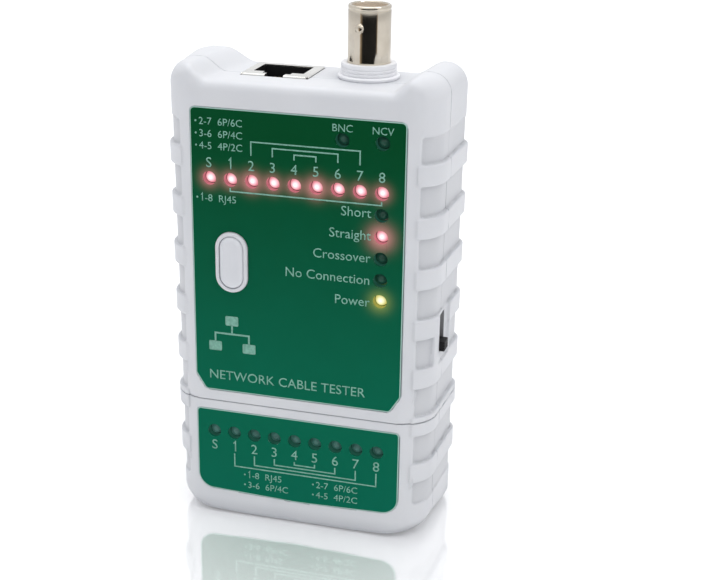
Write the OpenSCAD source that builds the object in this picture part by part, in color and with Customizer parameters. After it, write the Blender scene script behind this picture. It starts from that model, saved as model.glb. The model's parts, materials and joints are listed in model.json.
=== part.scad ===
// Handheld network cable tester: a main unit and a remote unit docked below it.
// Millimetres. Origin at the centre of the base, +Z up, the front face looks along -Y.

/* [Case] */
// Depth from the front face to the back face
body_d = 28.5; // [28.5:0.5:34]
// Width over the grip ribs near the front corners
front_w = 64.9; // [64:0.1:70]
// Width over the grip ribs near the rear corners
rear_w = 66.6; // [65:0.1:72]
// Height of the top plateau that carries the two sockets
plateau_z = 108.1; // [107:0.1:112]
// How far the two shoulders rise above the plateau
shoulder_h = 3.6; // [2:0.1:6]
// Height of the plane where the remote unit meets the main unit
dock_z = 30.2; // [29:0.1:31]
// Wall thickness of the case shells
wall = 2; // [1.6:0.1:2.4]
// Depth behind the front face where front and rear shells meet
seam_t = 10.5; // [10:0.1:11]

/* [Grip ribs] */
// Number of grip ribs on each side
rib_count = 7; // [5:1:7]
// Spacing of the ribs
rib_pitch = 12.15; // [12:0.05:12.3]
// Height of one rib
rib_h = 4.9; // [3.5:0.1:5.5]
// Top edge of the uppermost rib
rib_top_z = 92.4; // [91:0.1:93]
// Depth of the pockets between ribs
pocket_depth = 0.9; // [0.5:0.1:1.2]

/* [Labels and indicators] */
// Width of both front labels
label_w = 50.4; // [50:0.1:51]
// Thickness of a label
label_t = 0.4; // [0.3:0.05:0.6]
// Spacing of the indicator columns
led_pitch = 5.08; // [5.08:0.01:5.1]
// Height of the upper row of wire indicators
led_row_z = 85.5; // [85:0.1:86]
// Height of the remote unit's row of indicators
remote_row_z = 22.1; // [22:0.1:22.4]
// Diameter of an indicator
led_d = 3; // [2.9:0.1:3.1]

/* [Controls] */
// Width of the oval test button
button_w = 5.6; // [5:0.1:6.5]
// Length of the oval test button
button_h = 12.4; // [12:0.1:14]
// How far the test button stands out of the front face
button_out = 1.2; // [1:0.1:2]
// How far the case's collar round the button stands out of the front face
collar_out = 0.7; // [0.5:0.1:0.9]
// How far the test button can be pressed
button_travel = 0.5; // [0.3:0.1:0.6]
// Length of the power switch slot
slot_h = 9.4; // [9:0.1:10]
// Width of the power switch slot
slot_w = 4.4; // [4.2:0.1:4.8]

/* [Sockets] */
// Width of a modular jack shield
jack_w = 16; // [15.8:0.1:16.2]
// Front-to-back depth of a modular jack shield
jack_t = 13.4; // [13.2:0.1:13.6]
// Length of a modular jack shield
jack_l = 21.3; // [21:0.1:21.3]
// Centre of the main unit's jack across the width
jack_x = -7.95; // [-8.5:0.05:-7.5]
// Centre of the coaxial socket across the width
bnc_x = 12.3; // [12:0.1:12.8]
// Outer diameter of the coaxial socket's barrel
bnc_d = 9.7; // [9.6:0.05:9.8]
// Bore diameter of the coaxial socket's barrel
bnc_bore_d = 8.13; // [8.1:0.01:8.2]

/* [Hidden] */
$fn = 64;

// Case levels and corners
front_r = 8;
rear_r = 4;
pocket_start_x = 28.2;
head_step = 0.2;
foot_step = 0.7;
crest_z = plateau_z + shoulder_h;
dock_gap = 0.1;
main_z = dock_z + dock_gap / 2;
remote_z = dock_z - dock_gap / 2;
head_z = rib_top_z + 6.1;
foot_z = rib_top_z - (rib_count - 1) * rib_pitch - rib_h - 5.8;
back_wall = 2.5;

// Blocks that only cut or trim the case reach this far from its axis
reach = 60;

// Depths behind the front face
pcb_t0 = 6.0;
pcb_t1 = 7.6;
jack_t0 = 8.0;
axis_t = 15.0;
led_len = 5.3;
led_x8 = 3.9 * led_pitch;

// Case fasteners
boss_x = 25.3;
boss_zs = [37.5, 99.5];
remote_boss_z = 15;
boss_d = 6.4;
screw_d = 2.8;
screw_head_t = 20.5;
pcb_screw_spots = [[-22, 47], [18.5, 41], [-23.6, 70]];
remote_pcb_screw_spots = [[-21, 7], [21, 7]];

// Battery bay
bay_w = 27;
bay_z0 = 34.2;
bay_z1 = 86.2;
bay_floor_t = 8.9;
bay_wall = 0.8;
cover_t = 1.5;
cover_margin = 1.8;
cover_lap = 1.5;
cover_gap = 0.15;
battery_t0 = 9.85;
battery_w = 26.2;
battery_d = 17;
battery_z0 = 34.5;
battery_z1 = 80.9;
stud_x = 6.35;
snap_d = 12;

// Boards
pcb_x = 26.8;
main_pcb_z = [33.4, 104.4];
remote_pcb_z = [4.6, 27.4];
led_flange = 0.8;
led_leg_x = 1.27;
led_leg_d = 0.5;
led_leg_out = 0.3;
lead_x = 3;
lead_z = 82.6;

// Tongues of the main unit that dock into the remote unit
tongue_x = 15;
tongue_w = 5;
tongue_t = [17, 20];
tongue_z = 24.3;
tongue_gap = 0.2;

// Labels
upper_label_z = [33, led_row_z + 16.4];
lower_label_z = [6.5, 27.8];

// Controls
button_x = -15.65;
button_z = 65.8;
collar_w = 1.15;
button_flange_t = 2.35;
button_flange = 0.75;
tact_top_t = 4.0;
slider_z = 47.55;
slider_h = 2.9;
slot_z0 = 45.9;
switch_z = 50.6;
switch_frame_x = 23.4;
switch_frame_w = 5.6;
switch_frame_t = 5.5;
switch_frame_h = 14;
antenna_z = 103.6;

// Raised pad round the power switch, between the fourth and fifth ribs
pad_z = [rib_top_z - 4 * rib_pitch, rib_top_z - 3 * rib_pitch - rib_h];
pad_t = [5, 17];
pad_step = 0.5;
pad_pocket_t = [7, 15.5];
pad_pocket_z = [43.4, 58];
pad_pocket_depth = 1.15;

function dep(t) = -body_d / 2 + t;

// Corner circles of the plan outline, narrowed by side on each flank
function front_c(side) = [front_w / 2 - front_r - side, dep(front_r)];
function rear_c(side) = [rear_w / 2 - rear_r - side, dep(body_d - rear_r)];
function span(side) = rear_c(side) - front_c(side);
function tangent_angle(side) =
    atan2(span(side)[1], span(side)[0]) - acos((front_r - rear_r) / norm(span(side)));
function tangent_n(side) = [cos(tangent_angle(side)), sin(tangent_angle(side))];

// Plan outline of the case: four corner arcs joined by straight flanks
module plan(side, inset) {
    fc = front_c(side);
    rc = rear_c(side);
    n = tangent_n(side);
    rf = front_r - inset;
    rr = rear_r - inset;
    right = [
        [fc[0], fc[1] - rf],
        fc + rf * n,
        rc + rr * n,
        [rc[0], rc[1] + rr]
    ];
    left = [for (i = [3:-1:0]) [-right[i][0], right[i][1]]];
    union() {
        polygon(concat(right, left));
        for (s = [-1, 1]) {
            translate([s * fc[0], fc[1]]) circle(rf);
            translate([s * rc[0], rc[1]]) circle(rr);
        }
    }
}

// Extrude a 2D shape drawn in X and Z through the whole depth
module through_depth(t0, t1) {
    translate([0, dep(t1), 0])
        rotate([90, 0, 0])
            mirror([0, 0, 1])
                translate([0, 0, t0 - t1])
                    linear_extrude(t1 - t0) children();
}

// Extrude a 2D shape drawn in Y and Z across the width
module across_width(half) {
    translate([-half, 0, 0])
        rotate([90, 0, 90])
            linear_extrude(2 * half) children();
}

// Front view outline: bowed base, rounded shoulders and the plateau between them
module front_outline(inset) {
    half = rear_w / 2 + 1;
    base_x = 14;
    flat_x = 20.6;
    bend_x = 22;
    rise_x = 26;
    bend_rise = 0.35;
    top_r = 5;
    foot_r = 3.8;
    foot_rise = 0.8;
    top = crest_z - inset;
    trough = plateau_z - inset;
    difference() {
        union() {
            polygon([
                [-base_x, inset],
                [base_x, inset],
                [rear_w / 2 - foot_r, inset + foot_rise],
                [half, inset + foot_rise + foot_r],
                [half, top - top_r],
                [rear_w / 2 - top_r, top],
                [-rear_w / 2 + top_r, top],
                [-half, top - top_r],
                [-half, inset + foot_rise + foot_r],
                [-rear_w / 2 + foot_r, inset + foot_rise]
            ]);
            for (s = [-1, 1]) {
                translate([s * (rear_w / 2 - top_r), top - top_r]) circle(top_r);
                translate([s * (rear_w / 2 - foot_r), inset + foot_rise + foot_r]) circle(foot_r);
            }
        }
        polygon([
            [-rise_x - 1, top + 1],
            [-rise_x, top],
            [-bend_x, trough + bend_rise],
            [-flat_x, trough],
            [flat_x, trough],
            [bend_x, trough + bend_rise],
            [rise_x, top],
            [rise_x + 1, top + 1]
        ]);
        for (s = [-1, 1]) {
            corner_cut(s, top, rear_w / 2 - top_r, top - top_r, top_r, 1);
            corner_cut(s, inset, rear_w / 2 - foot_r, inset + foot_rise + foot_r, foot_r, -1);
        }
    }
}

// Square corner left outside an arc of the front view outline
module corner_cut(s, z, cx, cz, r, up) {
    difference() {
        translate([s > 0 ? cx : -cx - 2 * r, up > 0 ? cz : cz - 2 * r]) square([2 * r, 2 * r]);
        translate([s * cx, cz]) circle(r);
    }
}

// Side view outline with rounded front and rear edges
module side_outline(inset) {
    front_top_r = 3.5 - inset / 2;
    rear_top_r = 6 - inset;
    front_foot_r = 1.8 - inset / 2;
    rear_foot_r = 1.5;
    y0 = dep(inset);
    y1 = dep(body_d - inset);
    z0 = inset;
    z1 = crest_z - inset;
    difference() {
        translate([y0, z0]) square([y1 - y0, z1 - z0]);
        edge_cut(y0, z1, front_top_r, 1, -1);
        edge_cut(y1, z1, rear_top_r, -1, -1);
        edge_cut(y0, z0, front_foot_r, 1, 1);
        edge_cut(y1, z0, rear_foot_r, -1, 1);
    }
}

// Material outside a rounded corner, with its arc centre r inwards along sy and sz
module edge_cut(y, z, r, sy, sz) {
    difference() {
        translate([sy > 0 ? y - 1 : y - r, sz > 0 ? z - 1 : z - r]) square([r + 1, r + 1]);
        translate([y + sy * r, z + sz * r]) circle(r);
    }
}

// Ring of material on the flanks, outside the plan outline narrowed by side and inset
module flank_ring(z0, z1, side, inset) {
    rear_start_x = rear_w / 2 - rear_r;
    translate([0, 0, z0]) linear_extrude(z1 - z0)
        difference() {
            square([rear_w + 6, body_d + 6], center = true);
            plan(side, inset);
            square([2 * pocket_start_x, body_d + 8], center = true);
            translate([-rear_start_x, 0]) square([2 * rear_start_x, body_d]);
        }
}

// Solid outer form of the docked case, with grip pockets
module case_form() {
    difference() {
        intersection() {
            translate([0, 0, -1]) linear_extrude(crest_z + 2) plan(0, 0);
            through_depth(-1, body_d + 1) front_outline(0);
            across_width(rear_w) side_outline(0);
        }
        flank_ring(head_z, crest_z + 2, head_step, 0);
        flank_ring(-1, foot_z, foot_step, 0);
        for (i = [0:rib_count]) {
            top = i == 0 ? head_z : rib_top_z - (i - 1) * rib_pitch - rib_h;
            bottom = i == rib_count ? foot_z : rib_top_z - i * rib_pitch;
            flank_ring(bottom, top, 0, pocket_depth);
        }
    }
}

// Inner space of the case between two heights
module case_space(z0, z1) {
    intersection() {
        translate([0, 0, z0]) linear_extrude(z1 - z0) plan(pocket_depth, wall);
        through_depth(wall, body_d - back_wall) front_outline(wall);
        across_width(rear_w) side_outline(wall);
    }
}

// Raised pad round the power switch on the right flank
module switch_pad() {
    intersection() {
        translate([0, dep(pad_t[0]), pad_z[0] - pad_step / 2])
            cube([reach, pad_t[1] - pad_t[0], pad_z[1] - pad_z[0] + pad_step]);
        difference() {
            linear_extrude(plateau_z) plan(0, 0);
            linear_extrude(plateau_z) plan(pocket_depth + pad_step, 0);
        }
    }
}

// Shallow pocket and slot of the power switch
module switch_cut() {
    translate([rear_w / 2 - pad_pocket_depth, dep(pad_pocket_t[0]), pad_pocket_z[0]])
        cube([reach, pad_pocket_t[1] - pad_pocket_t[0], pad_pocket_z[1] - pad_pocket_z[0]]);
    translate([switch_frame_x, dep(seam_t) - slot_w / 2, slot_z0]) cube([reach, slot_w, slot_h]);
}

module half_space(front) {
    translate([-reach, front ? -reach : dep(seam_t), -1])
        cube([2 * reach, front ? reach + dep(seam_t) : reach, crest_z + 2]);
}

module slab(z0, z1) {
    translate([-reach, -reach, z0]) cube([2 * reach, 2 * reach, z1 - z0]);
}

// 2D outline of the upper label: rounded top corners and chamfered bottom corners
module upper_label_outline(gap) {
    x = label_w / 2 + gap;
    z0 = upper_label_z[0] - gap;
    z1 = upper_label_z[1] + gap;
    r = 1.2;
    chamfer_x = 2.5;
    chamfer_z = 4;
    union() {
        polygon([
            [chamfer_x - x, z0],
            [x - chamfer_x, z0],
            [x, z0 + chamfer_z],
            [x, z1 - r],
            [x - r, z1],
            [-x + r, z1],
            [-x, z1 - r],
            [-x, z0 + chamfer_z]
        ]);
        for (s = [-1, 1]) translate([s * (x - r), z1 - r]) circle(r);
    }
}

// 2D outline of the remote label: small top radii, large bottom radii, bowed bottom
module lower_label_outline(gap) {
    x = label_w / 2 + gap;
    z0 = lower_label_z[0] - gap;
    z1 = lower_label_z[1] + gap;
    r_top = 1;
    r_low = 4;
    bow = 0.8;
    union() {
        polygon([
            [-x + r_low, z0],
            [0, z0 - bow],
            [x - r_low, z0],
            [x, z0 + r_low],
            [x, z1 - r_top],
            [x - r_top, z1],
            [-x + r_top, z1],
            [-x, z1 - r_top],
            [-x, z0 + r_low]
        ]);
        for (s = [-1, 1]) {
            translate([s * (x - r_top), z1 - r_top]) circle(r_top);
            translate([s * (x - r_low), z0 + r_low]) circle(r_low);
        }
    }
}

// Oval outline of the test button, grown by grow all round
module button_outline(grow) {
    straight = (button_h - button_w) / 2;
    translate([button_x, button_z]) {
        square([button_w + 2 * grow, 2 * straight], center = true);
        for (s = [-1, 1]) translate([0, s * straight]) circle(button_w / 2 + grow);
    }
}

// Positions of the indicators, as [x, z]
wiremap_spots = [for (i = [0:8]) [led_x8 - (8 - i) * led_pitch, led_row_z]];
status_spots = [for (k = [1:5]) [led_x8, led_row_z - k * led_pitch]];
port_row_z = led_row_z + 11.4;
port_spots = [[led_x8, port_row_z], [led_x8 - 9.2, port_row_z]];
remote_spots = [for (i = [0:8]) [led_x8 - (8 - i) * led_pitch, remote_row_z]];
main_spots = concat(wiremap_spots, status_spots, port_spots);

// Round bars along the depth, drawn as pins or cut as holes
module bars(spots, d, t0, t1) {
    for (p = spots) translate([p[0], dep(t0), p[1]]) rotate([-90, 0, 0]) cylinder(d = d, h = t1 - t0);
}

// One indicator: flange, body, domed tip and two legs through the board
module indicator(p) {
    tip_r = led_d / 2;
    translate([p[0], dep(pcb_t0), p[1]]) rotate([90, 0, 0]) {
        cylinder(d = led_d + led_flange, h = 1);
        cylinder(d = led_d, h = led_len - tip_r);
        translate([0, 0, led_len - tip_r]) sphere(tip_r);
        leg_end = pcb_t0 - pcb_t1 - led_leg_out;
        for (s = [-1, 1]) translate([s * led_leg_x, 0, leg_end]) cylinder(d = led_leg_d, h = 0.5 - leg_end);
    }
}

module leg_bars(spots) {
    for (p = spots, s = [-1, 1])
        bars([[p[0] + s * led_leg_x, p[1]]], led_leg_d + 0.4, pcb_t0 - 1, pcb_t1 + 1);
}

// Boss with a pilot bore, standing on the front wall
module front_boss(x, z, bottom) {
    translate([x, dep(wall - 0.5), z]) rotate([-90, 0, 0]) cylinder(d = boss_d, h = bottom - wall + 0.5);
}

// Boss behind the seam, up to the back wall
module rear_boss(x, z) {
    translate([x, dep(seam_t), z]) rotate([-90, 0, 0]) cylinder(d = boss_d + 1, h = body_d - seam_t - 1);
}

module rear_boss_bore(x, z) {
    translate([x, dep(seam_t - 1), z]) rotate([-90, 0, 0]) cylinder(d = 3.2, h = body_d);
    translate([x, dep(screw_head_t), z]) rotate([-90, 0, 0]) cylinder(d = 5.8, h = body_d);
}

// Pan head screw from the back, seated in its boss
module case_screw(x, z) {
    translate([x, dep(screw_head_t), z]) rotate([-90, 0, 0])
        difference() {
            union() {
                cylinder(d = 5.2, h = 1.8);
                translate([0, 0, -16]) cylinder(d = screw_d, h = 16.5);
            }
            for (a = [0, 90]) rotate([0, 0, a]) translate([-1.4, -0.3, 0.9]) cube([2.8, 0.6, 2]);
        }
}

// Small screw that holds a board on its post
module board_screw(p) {
    translate([p[0], dep(pcb_t1), p[1]]) rotate([-90, 0, 0])
        difference() {
            union() {
                cylinder(d = 3.8, h = 1.2);
                translate([0, 0, -4.6]) cylinder(d = 1.9, h = 5);
            }
            translate([-1.5, -0.25, 0.6]) cube([3, 0.5, 1]);
        }
}

module board_post(p) {
    translate([p[0], dep(wall - 0.5), p[1]]) rotate([-90, 0, 0])
        difference() {
            cylinder(d = 4.6, h = pcb_t0 - wall + 0.5);
            translate([0, 0, 1]) cylinder(d = 2, h = 10);
        }
}

// Opening through the top for a modular jack
module jack_opening(x, z) {
    translate([x - jack_w / 2 - 0.15, dep(jack_t0 - 0.15), z]) cube([jack_w + 0.3, jack_t + 0.3, 10]);
}

module front_shell() {
    color("whitesmoke") {
        difference() {
            intersection() {
                union() {
                    difference() {
                        case_form();
                        case_space(main_z + wall, crest_z);
                    }
                    switch_pad();
                }
                half_space(true);
                slab(main_z, crest_z + 1);
            }
            switch_cut();
            through_depth(-1, label_t) upper_label_outline(0.1);
            through_depth(-1, wall + 1) button_outline(0.15);
            bars(main_spots, led_d + 0.3, -1, wall + 1);
            jack_opening(jack_x, plateau_z - wall - 1);
            translate([bnc_x, dep(axis_t), plateau_z - 5]) cylinder(d = 13, h = 10);
        }
        for (x = [-boss_x, boss_x], z = boss_zs)
            difference() {
                front_boss(x, z, seam_t);
                translate([x, dep(3), z]) rotate([-90, 0, 0]) cylinder(d = screw_d + 0.1, h = 10);
            }
        for (p = pcb_screw_spots) board_post(p);
        difference() {
            through_depth(-collar_out, wall) button_outline(collar_w);
            through_depth(-collar_out - 1, wall + 1) button_outline(0.15);
        }
    }
}

module rear_shell() {
    color("whitesmoke") {
        difference() {
            union() {
                intersection() {
                    union() {
                        difference() {
                            case_form();
                            case_space(main_z + wall, crest_z);
                        }
                        switch_pad();
                    }
                    half_space(false);
                    slab(main_z, crest_z + 1);
                }
                for (x = [-boss_x, boss_x], z = boss_zs) rear_boss(x, z);
                bay_walls();
                tongues(tongue_z, main_z + 0.3, 0);
            }
            switch_cut();
            for (x = [-boss_x, boss_x], z = boss_zs) rear_boss_bore(x, z);
            translate([-bay_w / 2, dep(bay_floor_t + bay_wall), bay_z0])
                cube([bay_w, body_d, bay_z1 - bay_z0]);
            cover_plate(0, body_d);
            jack_opening(jack_x, plateau_z - wall - 1);
            translate([bnc_x, dep(axis_t), plateau_z - 5]) cylinder(d = 13, h = 10);
            bars([[-lead_x, lead_z], [lead_x, lead_z]], 2, bay_floor_t - 1, bay_floor_t + 2);
        }
    }
}

// Pair of docking tongues, or with a gap the pockets that take them
module tongues(z0, z1, gap) {
    for (s = [-1, 1])
        translate([s * tongue_x - tongue_w / 2 - gap, dep(tongue_t[0]) - gap, z0])
            cube([tongue_w + 2 * gap, tongue_t[1] - tongue_t[0] + 2 * gap, z1 - z0]);
}

// Box that separates the battery from the board
module bay_walls() {
    floor_z = main_z + wall;
    translate([-bay_w / 2 - bay_wall, dep(bay_floor_t), floor_z])
        cube([bay_w + 2 * bay_wall, body_d - bay_floor_t - 1, bay_z1 + bay_wall - floor_z]);
}

// Plate over the battery bay, smaller than its recess by gap on every edge
module cover_plate(gap, thickness) {
    half = bay_w / 2 + cover_margin - gap;
    z0 = bay_z0 - cover_lap + gap;
    z1 = bay_z1 + cover_lap - gap;
    translate([-half, dep(body_d - cover_t), z0]) cube([2 * half, thickness, z1 - z0]);
}

module battery_cover() {
    tab = [6, 1.2, 2];
    groove = [12, 1, 1];
    color("whitesmoke") difference() {
        union() {
            cover_plate(cover_gap, cover_t);
            for (s = [-1, 1])
                translate([s * 9 - tab[0] / 2, dep(body_d - cover_t) + 0.25 - tab[1], bay_z1 - 0.2 - tab[2]])
                    cube(tab);
        }
        for (i = [0:3]) translate([-groove[0] / 2, dep(body_d - 0.5), 76 + 2 * i]) cube(groove);
    }
}

module front_label() {
    color("darkgreen") difference() {
        through_depth(-0.05, label_t) upper_label_outline(0);
        through_depth(-1, 1) button_outline(collar_w + 0.05);
        bars(main_spots, led_d + 0.3, -1, 1);
    }
}

switch_pin_spots = [for (z = [-4, 0, 4]) [25, switch_z + z]];

// Blank circuit board between two heights
module board(z) {
    translate([-pcb_x, dep(pcb_t0), z[0]]) cube([2 * pcb_x, pcb_t1 - pcb_t0, z[1] - z[0]]);
}

module main_pcb() {
    color("seagreen") difference() {
        board(main_pcb_z);
        leg_bars(main_spots);
        bars(pcb_screw_spots, 2.3, pcb_t0 - 1, pcb_t1 + 1);
        bars([for (x = [-boss_x, boss_x], z = boss_zs) [x, z]], boss_d + 0.6, pcb_t0 - 1, pcb_t1 + 1);
        bars(switch_pin_spots, 1.1, pcb_t0 - 1, pcb_t1 + 1);
    }
}

module pcb_screws() {
    color("silver") for (p = pcb_screw_spots) board_screw(p);
}

module wiremap_leds() {
    color("tomato") for (p = wiremap_spots) indicator(p);
}

module status_leds() {
    color("tomato") for (p = status_spots) indicator(p);
}

module port_leds() {
    color("tomato") for (p = port_spots) indicator(p);
}

latch_w = 4.4;

// Outline of a modular plug opening: plug body, latch step and latch slot
module plug_outline(x) {
    t_back = jack_t0 + 11.4;
    for (part = [[11.9, 8, 8], [6.6, 9.6, 2], [latch_w, 12, 3]])
        translate([x - part[0] / 2, dep(t_back - part[1])]) square([part[0], part[2]]);
}

// Folded metal shield with a face plate round the plug opening
module jack_shield(x, rim_z) {
    sheet = 0.3;
    color("silver") difference() {
        translate([x - jack_w / 2, dep(jack_t0), rim_z - jack_l]) cube([jack_w, jack_t, jack_l]);
        translate([x - jack_w / 2 + sheet, dep(jack_t0 + sheet), rim_z - jack_l + sheet])
            cube([jack_w - 2 * sheet, jack_t - 2 * sheet, jack_l - 2 * sheet]);
        translate([0, 0, rim_z - 1]) linear_extrude(2) {
            plug_outline(x);
            translate([x - latch_w / 2, dep(jack_t0 - 1)]) square([latch_w, 4]);
        }
        translate([x - latch_w / 2, dep(jack_t0 - 1), rim_z - 2]) cube([latch_w, 1.5, 3]);
    }
}

// Moulded insert with the plug cavity and a contact recess
module jack_housing(x, rim_z) {
    gap = 0.35;
    top = rim_z - gap;
    color("dimgray") difference() {
        translate([x - jack_w / 2 + gap, dep(jack_t0 + gap), rim_z - jack_l + gap])
            cube([jack_w - 2 * gap, jack_t - 2 * gap, jack_l - 2 * gap]);
        translate([0, 0, top - 15]) linear_extrude(16) plug_outline(x);
        translate([x - 4.3, dep(jack_t0 + 11), top - 16]) cube([8.6, 1.4, 14]);
    }
}

// Eight spring contacts lying in the contact recess, each kinked into the plug space
module jack_contacts(x, rim_z) {
    wire = 0.35;
    z0 = rim_z - 16.2;
    z1 = rim_z - 3;
    y0 = dep(jack_t0 + 12.4);
    color("gold") for (i = [0:7])
        translate([x + (i - 3.5) * 1.02 - wire / 2, 0, 0]) rotate([90, 0, 90]) linear_extrude(wire)
            polygon([
                [y0, z0],
                [y0, z1],
                [y0 - 0.4, z1],
                [y0 - 2.3, z1 - 6],
                [y0 - 2.0, z1 - 6.4],
                [y0 - 0.4, z1 - 1.6],
                [y0 - 0.4, z0]
            ]);
}

module main_jack_shield() {
    jack_shield(jack_x, plateau_z + 0.4);
}

module main_jack_housing() {
    jack_housing(jack_x, plateau_z + 0.4);
}

module main_jack_contacts() {
    jack_contacts(jack_x, plateau_z + 0.4);
}

module at_bnc(z) {
    translate([bnc_x, dep(axis_t), z]) children();
}

bnc_neck_z = plateau_z + 3.6;
bnc_top_z = plateau_z + 16.4;

// Moulded body of the coaxial socket with a threaded neck through the plateau
module bnc_housing() {
    color("white") difference() {
        union() {
            translate([bnc_x - 6.9, dep(jack_t0), plateau_z - 18]) cube([13.8, 13.6, 15]);
            at_bnc(plateau_z - 4) cylinder(d = 12.3, h = bnc_neck_z - plateau_z + 4);
            at_bnc(plateau_z + 0.02) cylinder(d = 14, h = 0.75);
            for (i = [0:2]) at_bnc(plateau_z + 0.98 + 0.75 * i) cylinder(d = 12.9 - 0.1 * i, h = 0.45);
        }
        at_bnc(plateau_z - 6) cylinder(d = bnc_d + 0.1, h = 12);
        at_bnc(plateau_z - 19) cylinder(d = 5, h = 14);
    }
}

module bnc_barrel() {
    color("silver") {
        difference() {
            at_bnc(plateau_z - 6) cylinder(d = bnc_d, h = bnc_top_z - plateau_z + 6);
            at_bnc(plateau_z - 7) cylinder(d = bnc_bore_d, h = 30);
        }
        for (s = [0, 180]) at_bnc(bnc_top_z - 4.8) rotate([0, 0, s - 12]) rotate([90, 0, 0])
            translate([0, 0, bnc_bore_d / 2 + 0.2]) cylinder(d = 1.9, h = 5.5 - bnc_bore_d / 2 - 0.2);
    }
}

module bnc_insulator() {
    color("ivory") difference() {
        union() {
            at_bnc(plateau_z - 6) cylinder(d = bnc_bore_d - 0.06, h = 11.5);
            at_bnc(plateau_z) cylinder(d = 4.8, h = 11);
        }
        at_bnc(plateau_z - 7) cylinder(d = 2.2, h = 20);
    }
}

module bnc_center_contact() {
    color("gold") difference() {
        at_bnc(plateau_z - 16) cylinder(d = 2.1, h = 26.6);
        at_bnc(plateau_z + 3) cylinder(d = 1.35, h = 10);
        at_bnc(plateau_z + 8) translate([-2, -0.15, 0]) cube([4, 0.3, 5]);
    }
}

// Surface mounted chip with gull wing legs on two sides
module chip(x, z, w, h, legs) {
    thick = 1.0;
    translate([x - w / 2, dep(pcb_t1 + 0.1), z - h / 2]) cube([w, thick, h]);
    for (s = [-1, 1], i = [0:legs - 1])
        translate([x + s * (w / 2 + 0.35) - 0.4, dep(pcb_t1), z + (i - (legs - 1) / 2) * 1.27 - 0.2])
            cube([0.8, 0.4, 0.4]);
}

module microcontroller() {
    color("dimgray") chip(x = 0, z = 58, w = 7.5, h = 11.5, legs = 9);
}

module driver_ics() {
    color("dimgray") for (x = [-10.2, 10.2]) chip(x = x, z = 72, w = 3.9, h = 9.9, legs = 7);
}

module chip_resistor(w, h) {
    translate([-w / 2, 0, -h / 2]) cube([w, 0.5, h]);
}

module resistors() {
    color("black") {
        for (p = wiremap_spots) translate([p[0], dep(pcb_t1), p[1] - 6]) chip_resistor(1.2, 2);
        for (p = status_spots) translate([p[0] - 3, dep(pcb_t1), p[1]]) chip_resistor(2, 1.2);
    }
}

module capacitors() {
    color("tan") {
        for (p = [[0, 66.6], [-10.2, 64.5], [10.2, 64.5], [-10, 46]])
            translate([p[0] - 1, dep(pcb_t1), p[1] - 0.6]) cube([2, 0.9, 1.2]);
        translate([-24, dep(pcb_t1), 90]) rotate([-90, 0, 0]) cylinder(d = 5, h = 9);
    }
}

module crystal() {
    color("silver") intersection() {
        translate([-3, dep(pcb_t1), 46.4]) cube([6, 1.1, 3.2]);
        translate([0, dep(pcb_t1), 48]) rotate([-90, 0, 0]) cylinder(d = 6.4, h = 2);
    }
}

// Folded copper plate that senses mains voltage behind the right shoulder
module ncv_antenna() {
    foil = 0.4;
    color("peru") {
        translate([20.6, dep(pcb_t1), antenna_z]) cube([5, 12, foil]);
        translate([25.2, dep(pcb_t1), antenna_z]) cube([foil, 12, 3]);
    }
}

// Box centred on the power switch's axis, starting at x
module switch_box(x, w, t, h) {
    translate([x, dep(seam_t) - t / 2, switch_z - h / 2]) cube([w, t, h]);
}

module switch_frame() {
    sheet = 0.4;
    color("silver") difference() {
        switch_box(switch_frame_x, switch_frame_w, switch_frame_t, switch_frame_h);
        switch_box(switch_frame_x + sheet, switch_frame_w - 2 * sheet,
            switch_frame_t - 2 * sheet, switch_frame_h - 2 * sheet);
        switch_box(switch_frame_x + 3.6, switch_frame_w, 4.1, slot_h + 1.2);
    }
}

module switch_terminals() {
    color("silver") bars(switch_pin_spots, 0.8, pcb_t0 - 0.4, seam_t - switch_frame_t / 2);
}

// Slider: a carriage in the frame and a ridged knob through the slot
module power_switch_slider() {
    knob_w = 3.8;
    knob_x = [28.4, 33.4];
    groove = [0.35, 0.5];
    carriage = [4.3, 4.4, 5.3];
    color("black") {
        translate([knob_x[0] + 0.1 - carriage[0], dep(seam_t) - carriage[1] / 2, slider_z - carriage[2] / 2])
            cube(carriage);
        difference() {
            translate([knob_x[0], dep(seam_t) - knob_w / 2, slider_z - slider_h / 2])
                cube([knob_x[1] - knob_x[0], knob_w, slider_h]);
            for (z = [-0.7, 0.1])
                translate([knob_x[1] - groove[0], dep(seam_t) - knob_w, slider_z + z])
                    cube([1, 2 * knob_w, groove[1]]);
        }
    }
}

module test_button() {
    color("white") {
        through_depth(-button_out, button_flange_t) button_outline(0);
        through_depth(button_flange_t, button_flange_t + button_flange) button_outline(0.9);
    }
}

module tact_switch_body() {
    color("dimgray") difference() {
        translate([button_x - 3, dep(tact_top_t), button_z - 3]) cube([6, pcb_t0 - tact_top_t, 6]);
        bars([[button_x, button_z]], 3.5, tact_top_t - 1, pcb_t0 - 0.4);
    }
}

module tact_switch_plunger() {
    color("black") bars([[button_x, button_z]], 3.4, button_flange_t + button_flange + 0.02, 4.9);
}

module battery() {
    r = 2;
    color("goldenrod") intersection() {
        translate([-battery_w / 2, dep(battery_t0), battery_z0])
            cube([battery_w, battery_d, battery_z1 - battery_z0]);
        translate([0, dep(battery_t0 + battery_d / 2), 0]) linear_extrude(plateau_z) {
            square([battery_w - 2 * r, battery_d], center = true);
            square([battery_w, battery_d - 2 * r], center = true);
            for (sx = [-1, 1], sy = [-1, 1])
                translate([sx * (battery_w / 2 - r), sy * (battery_d / 2 - r)]) circle(r);
        }
    }
}

module battery_terminals() {
    color("silver") translate([0, dep(battery_t0 + battery_d / 2), battery_z1]) {
        translate([stud_x, 0, 0]) cylinder(d = 5.7, h = 2.4);
        translate([-stud_x, 0, 0]) cylinder(d = 7.6, h = 2.4, $fn = 6);
    }
}

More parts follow.
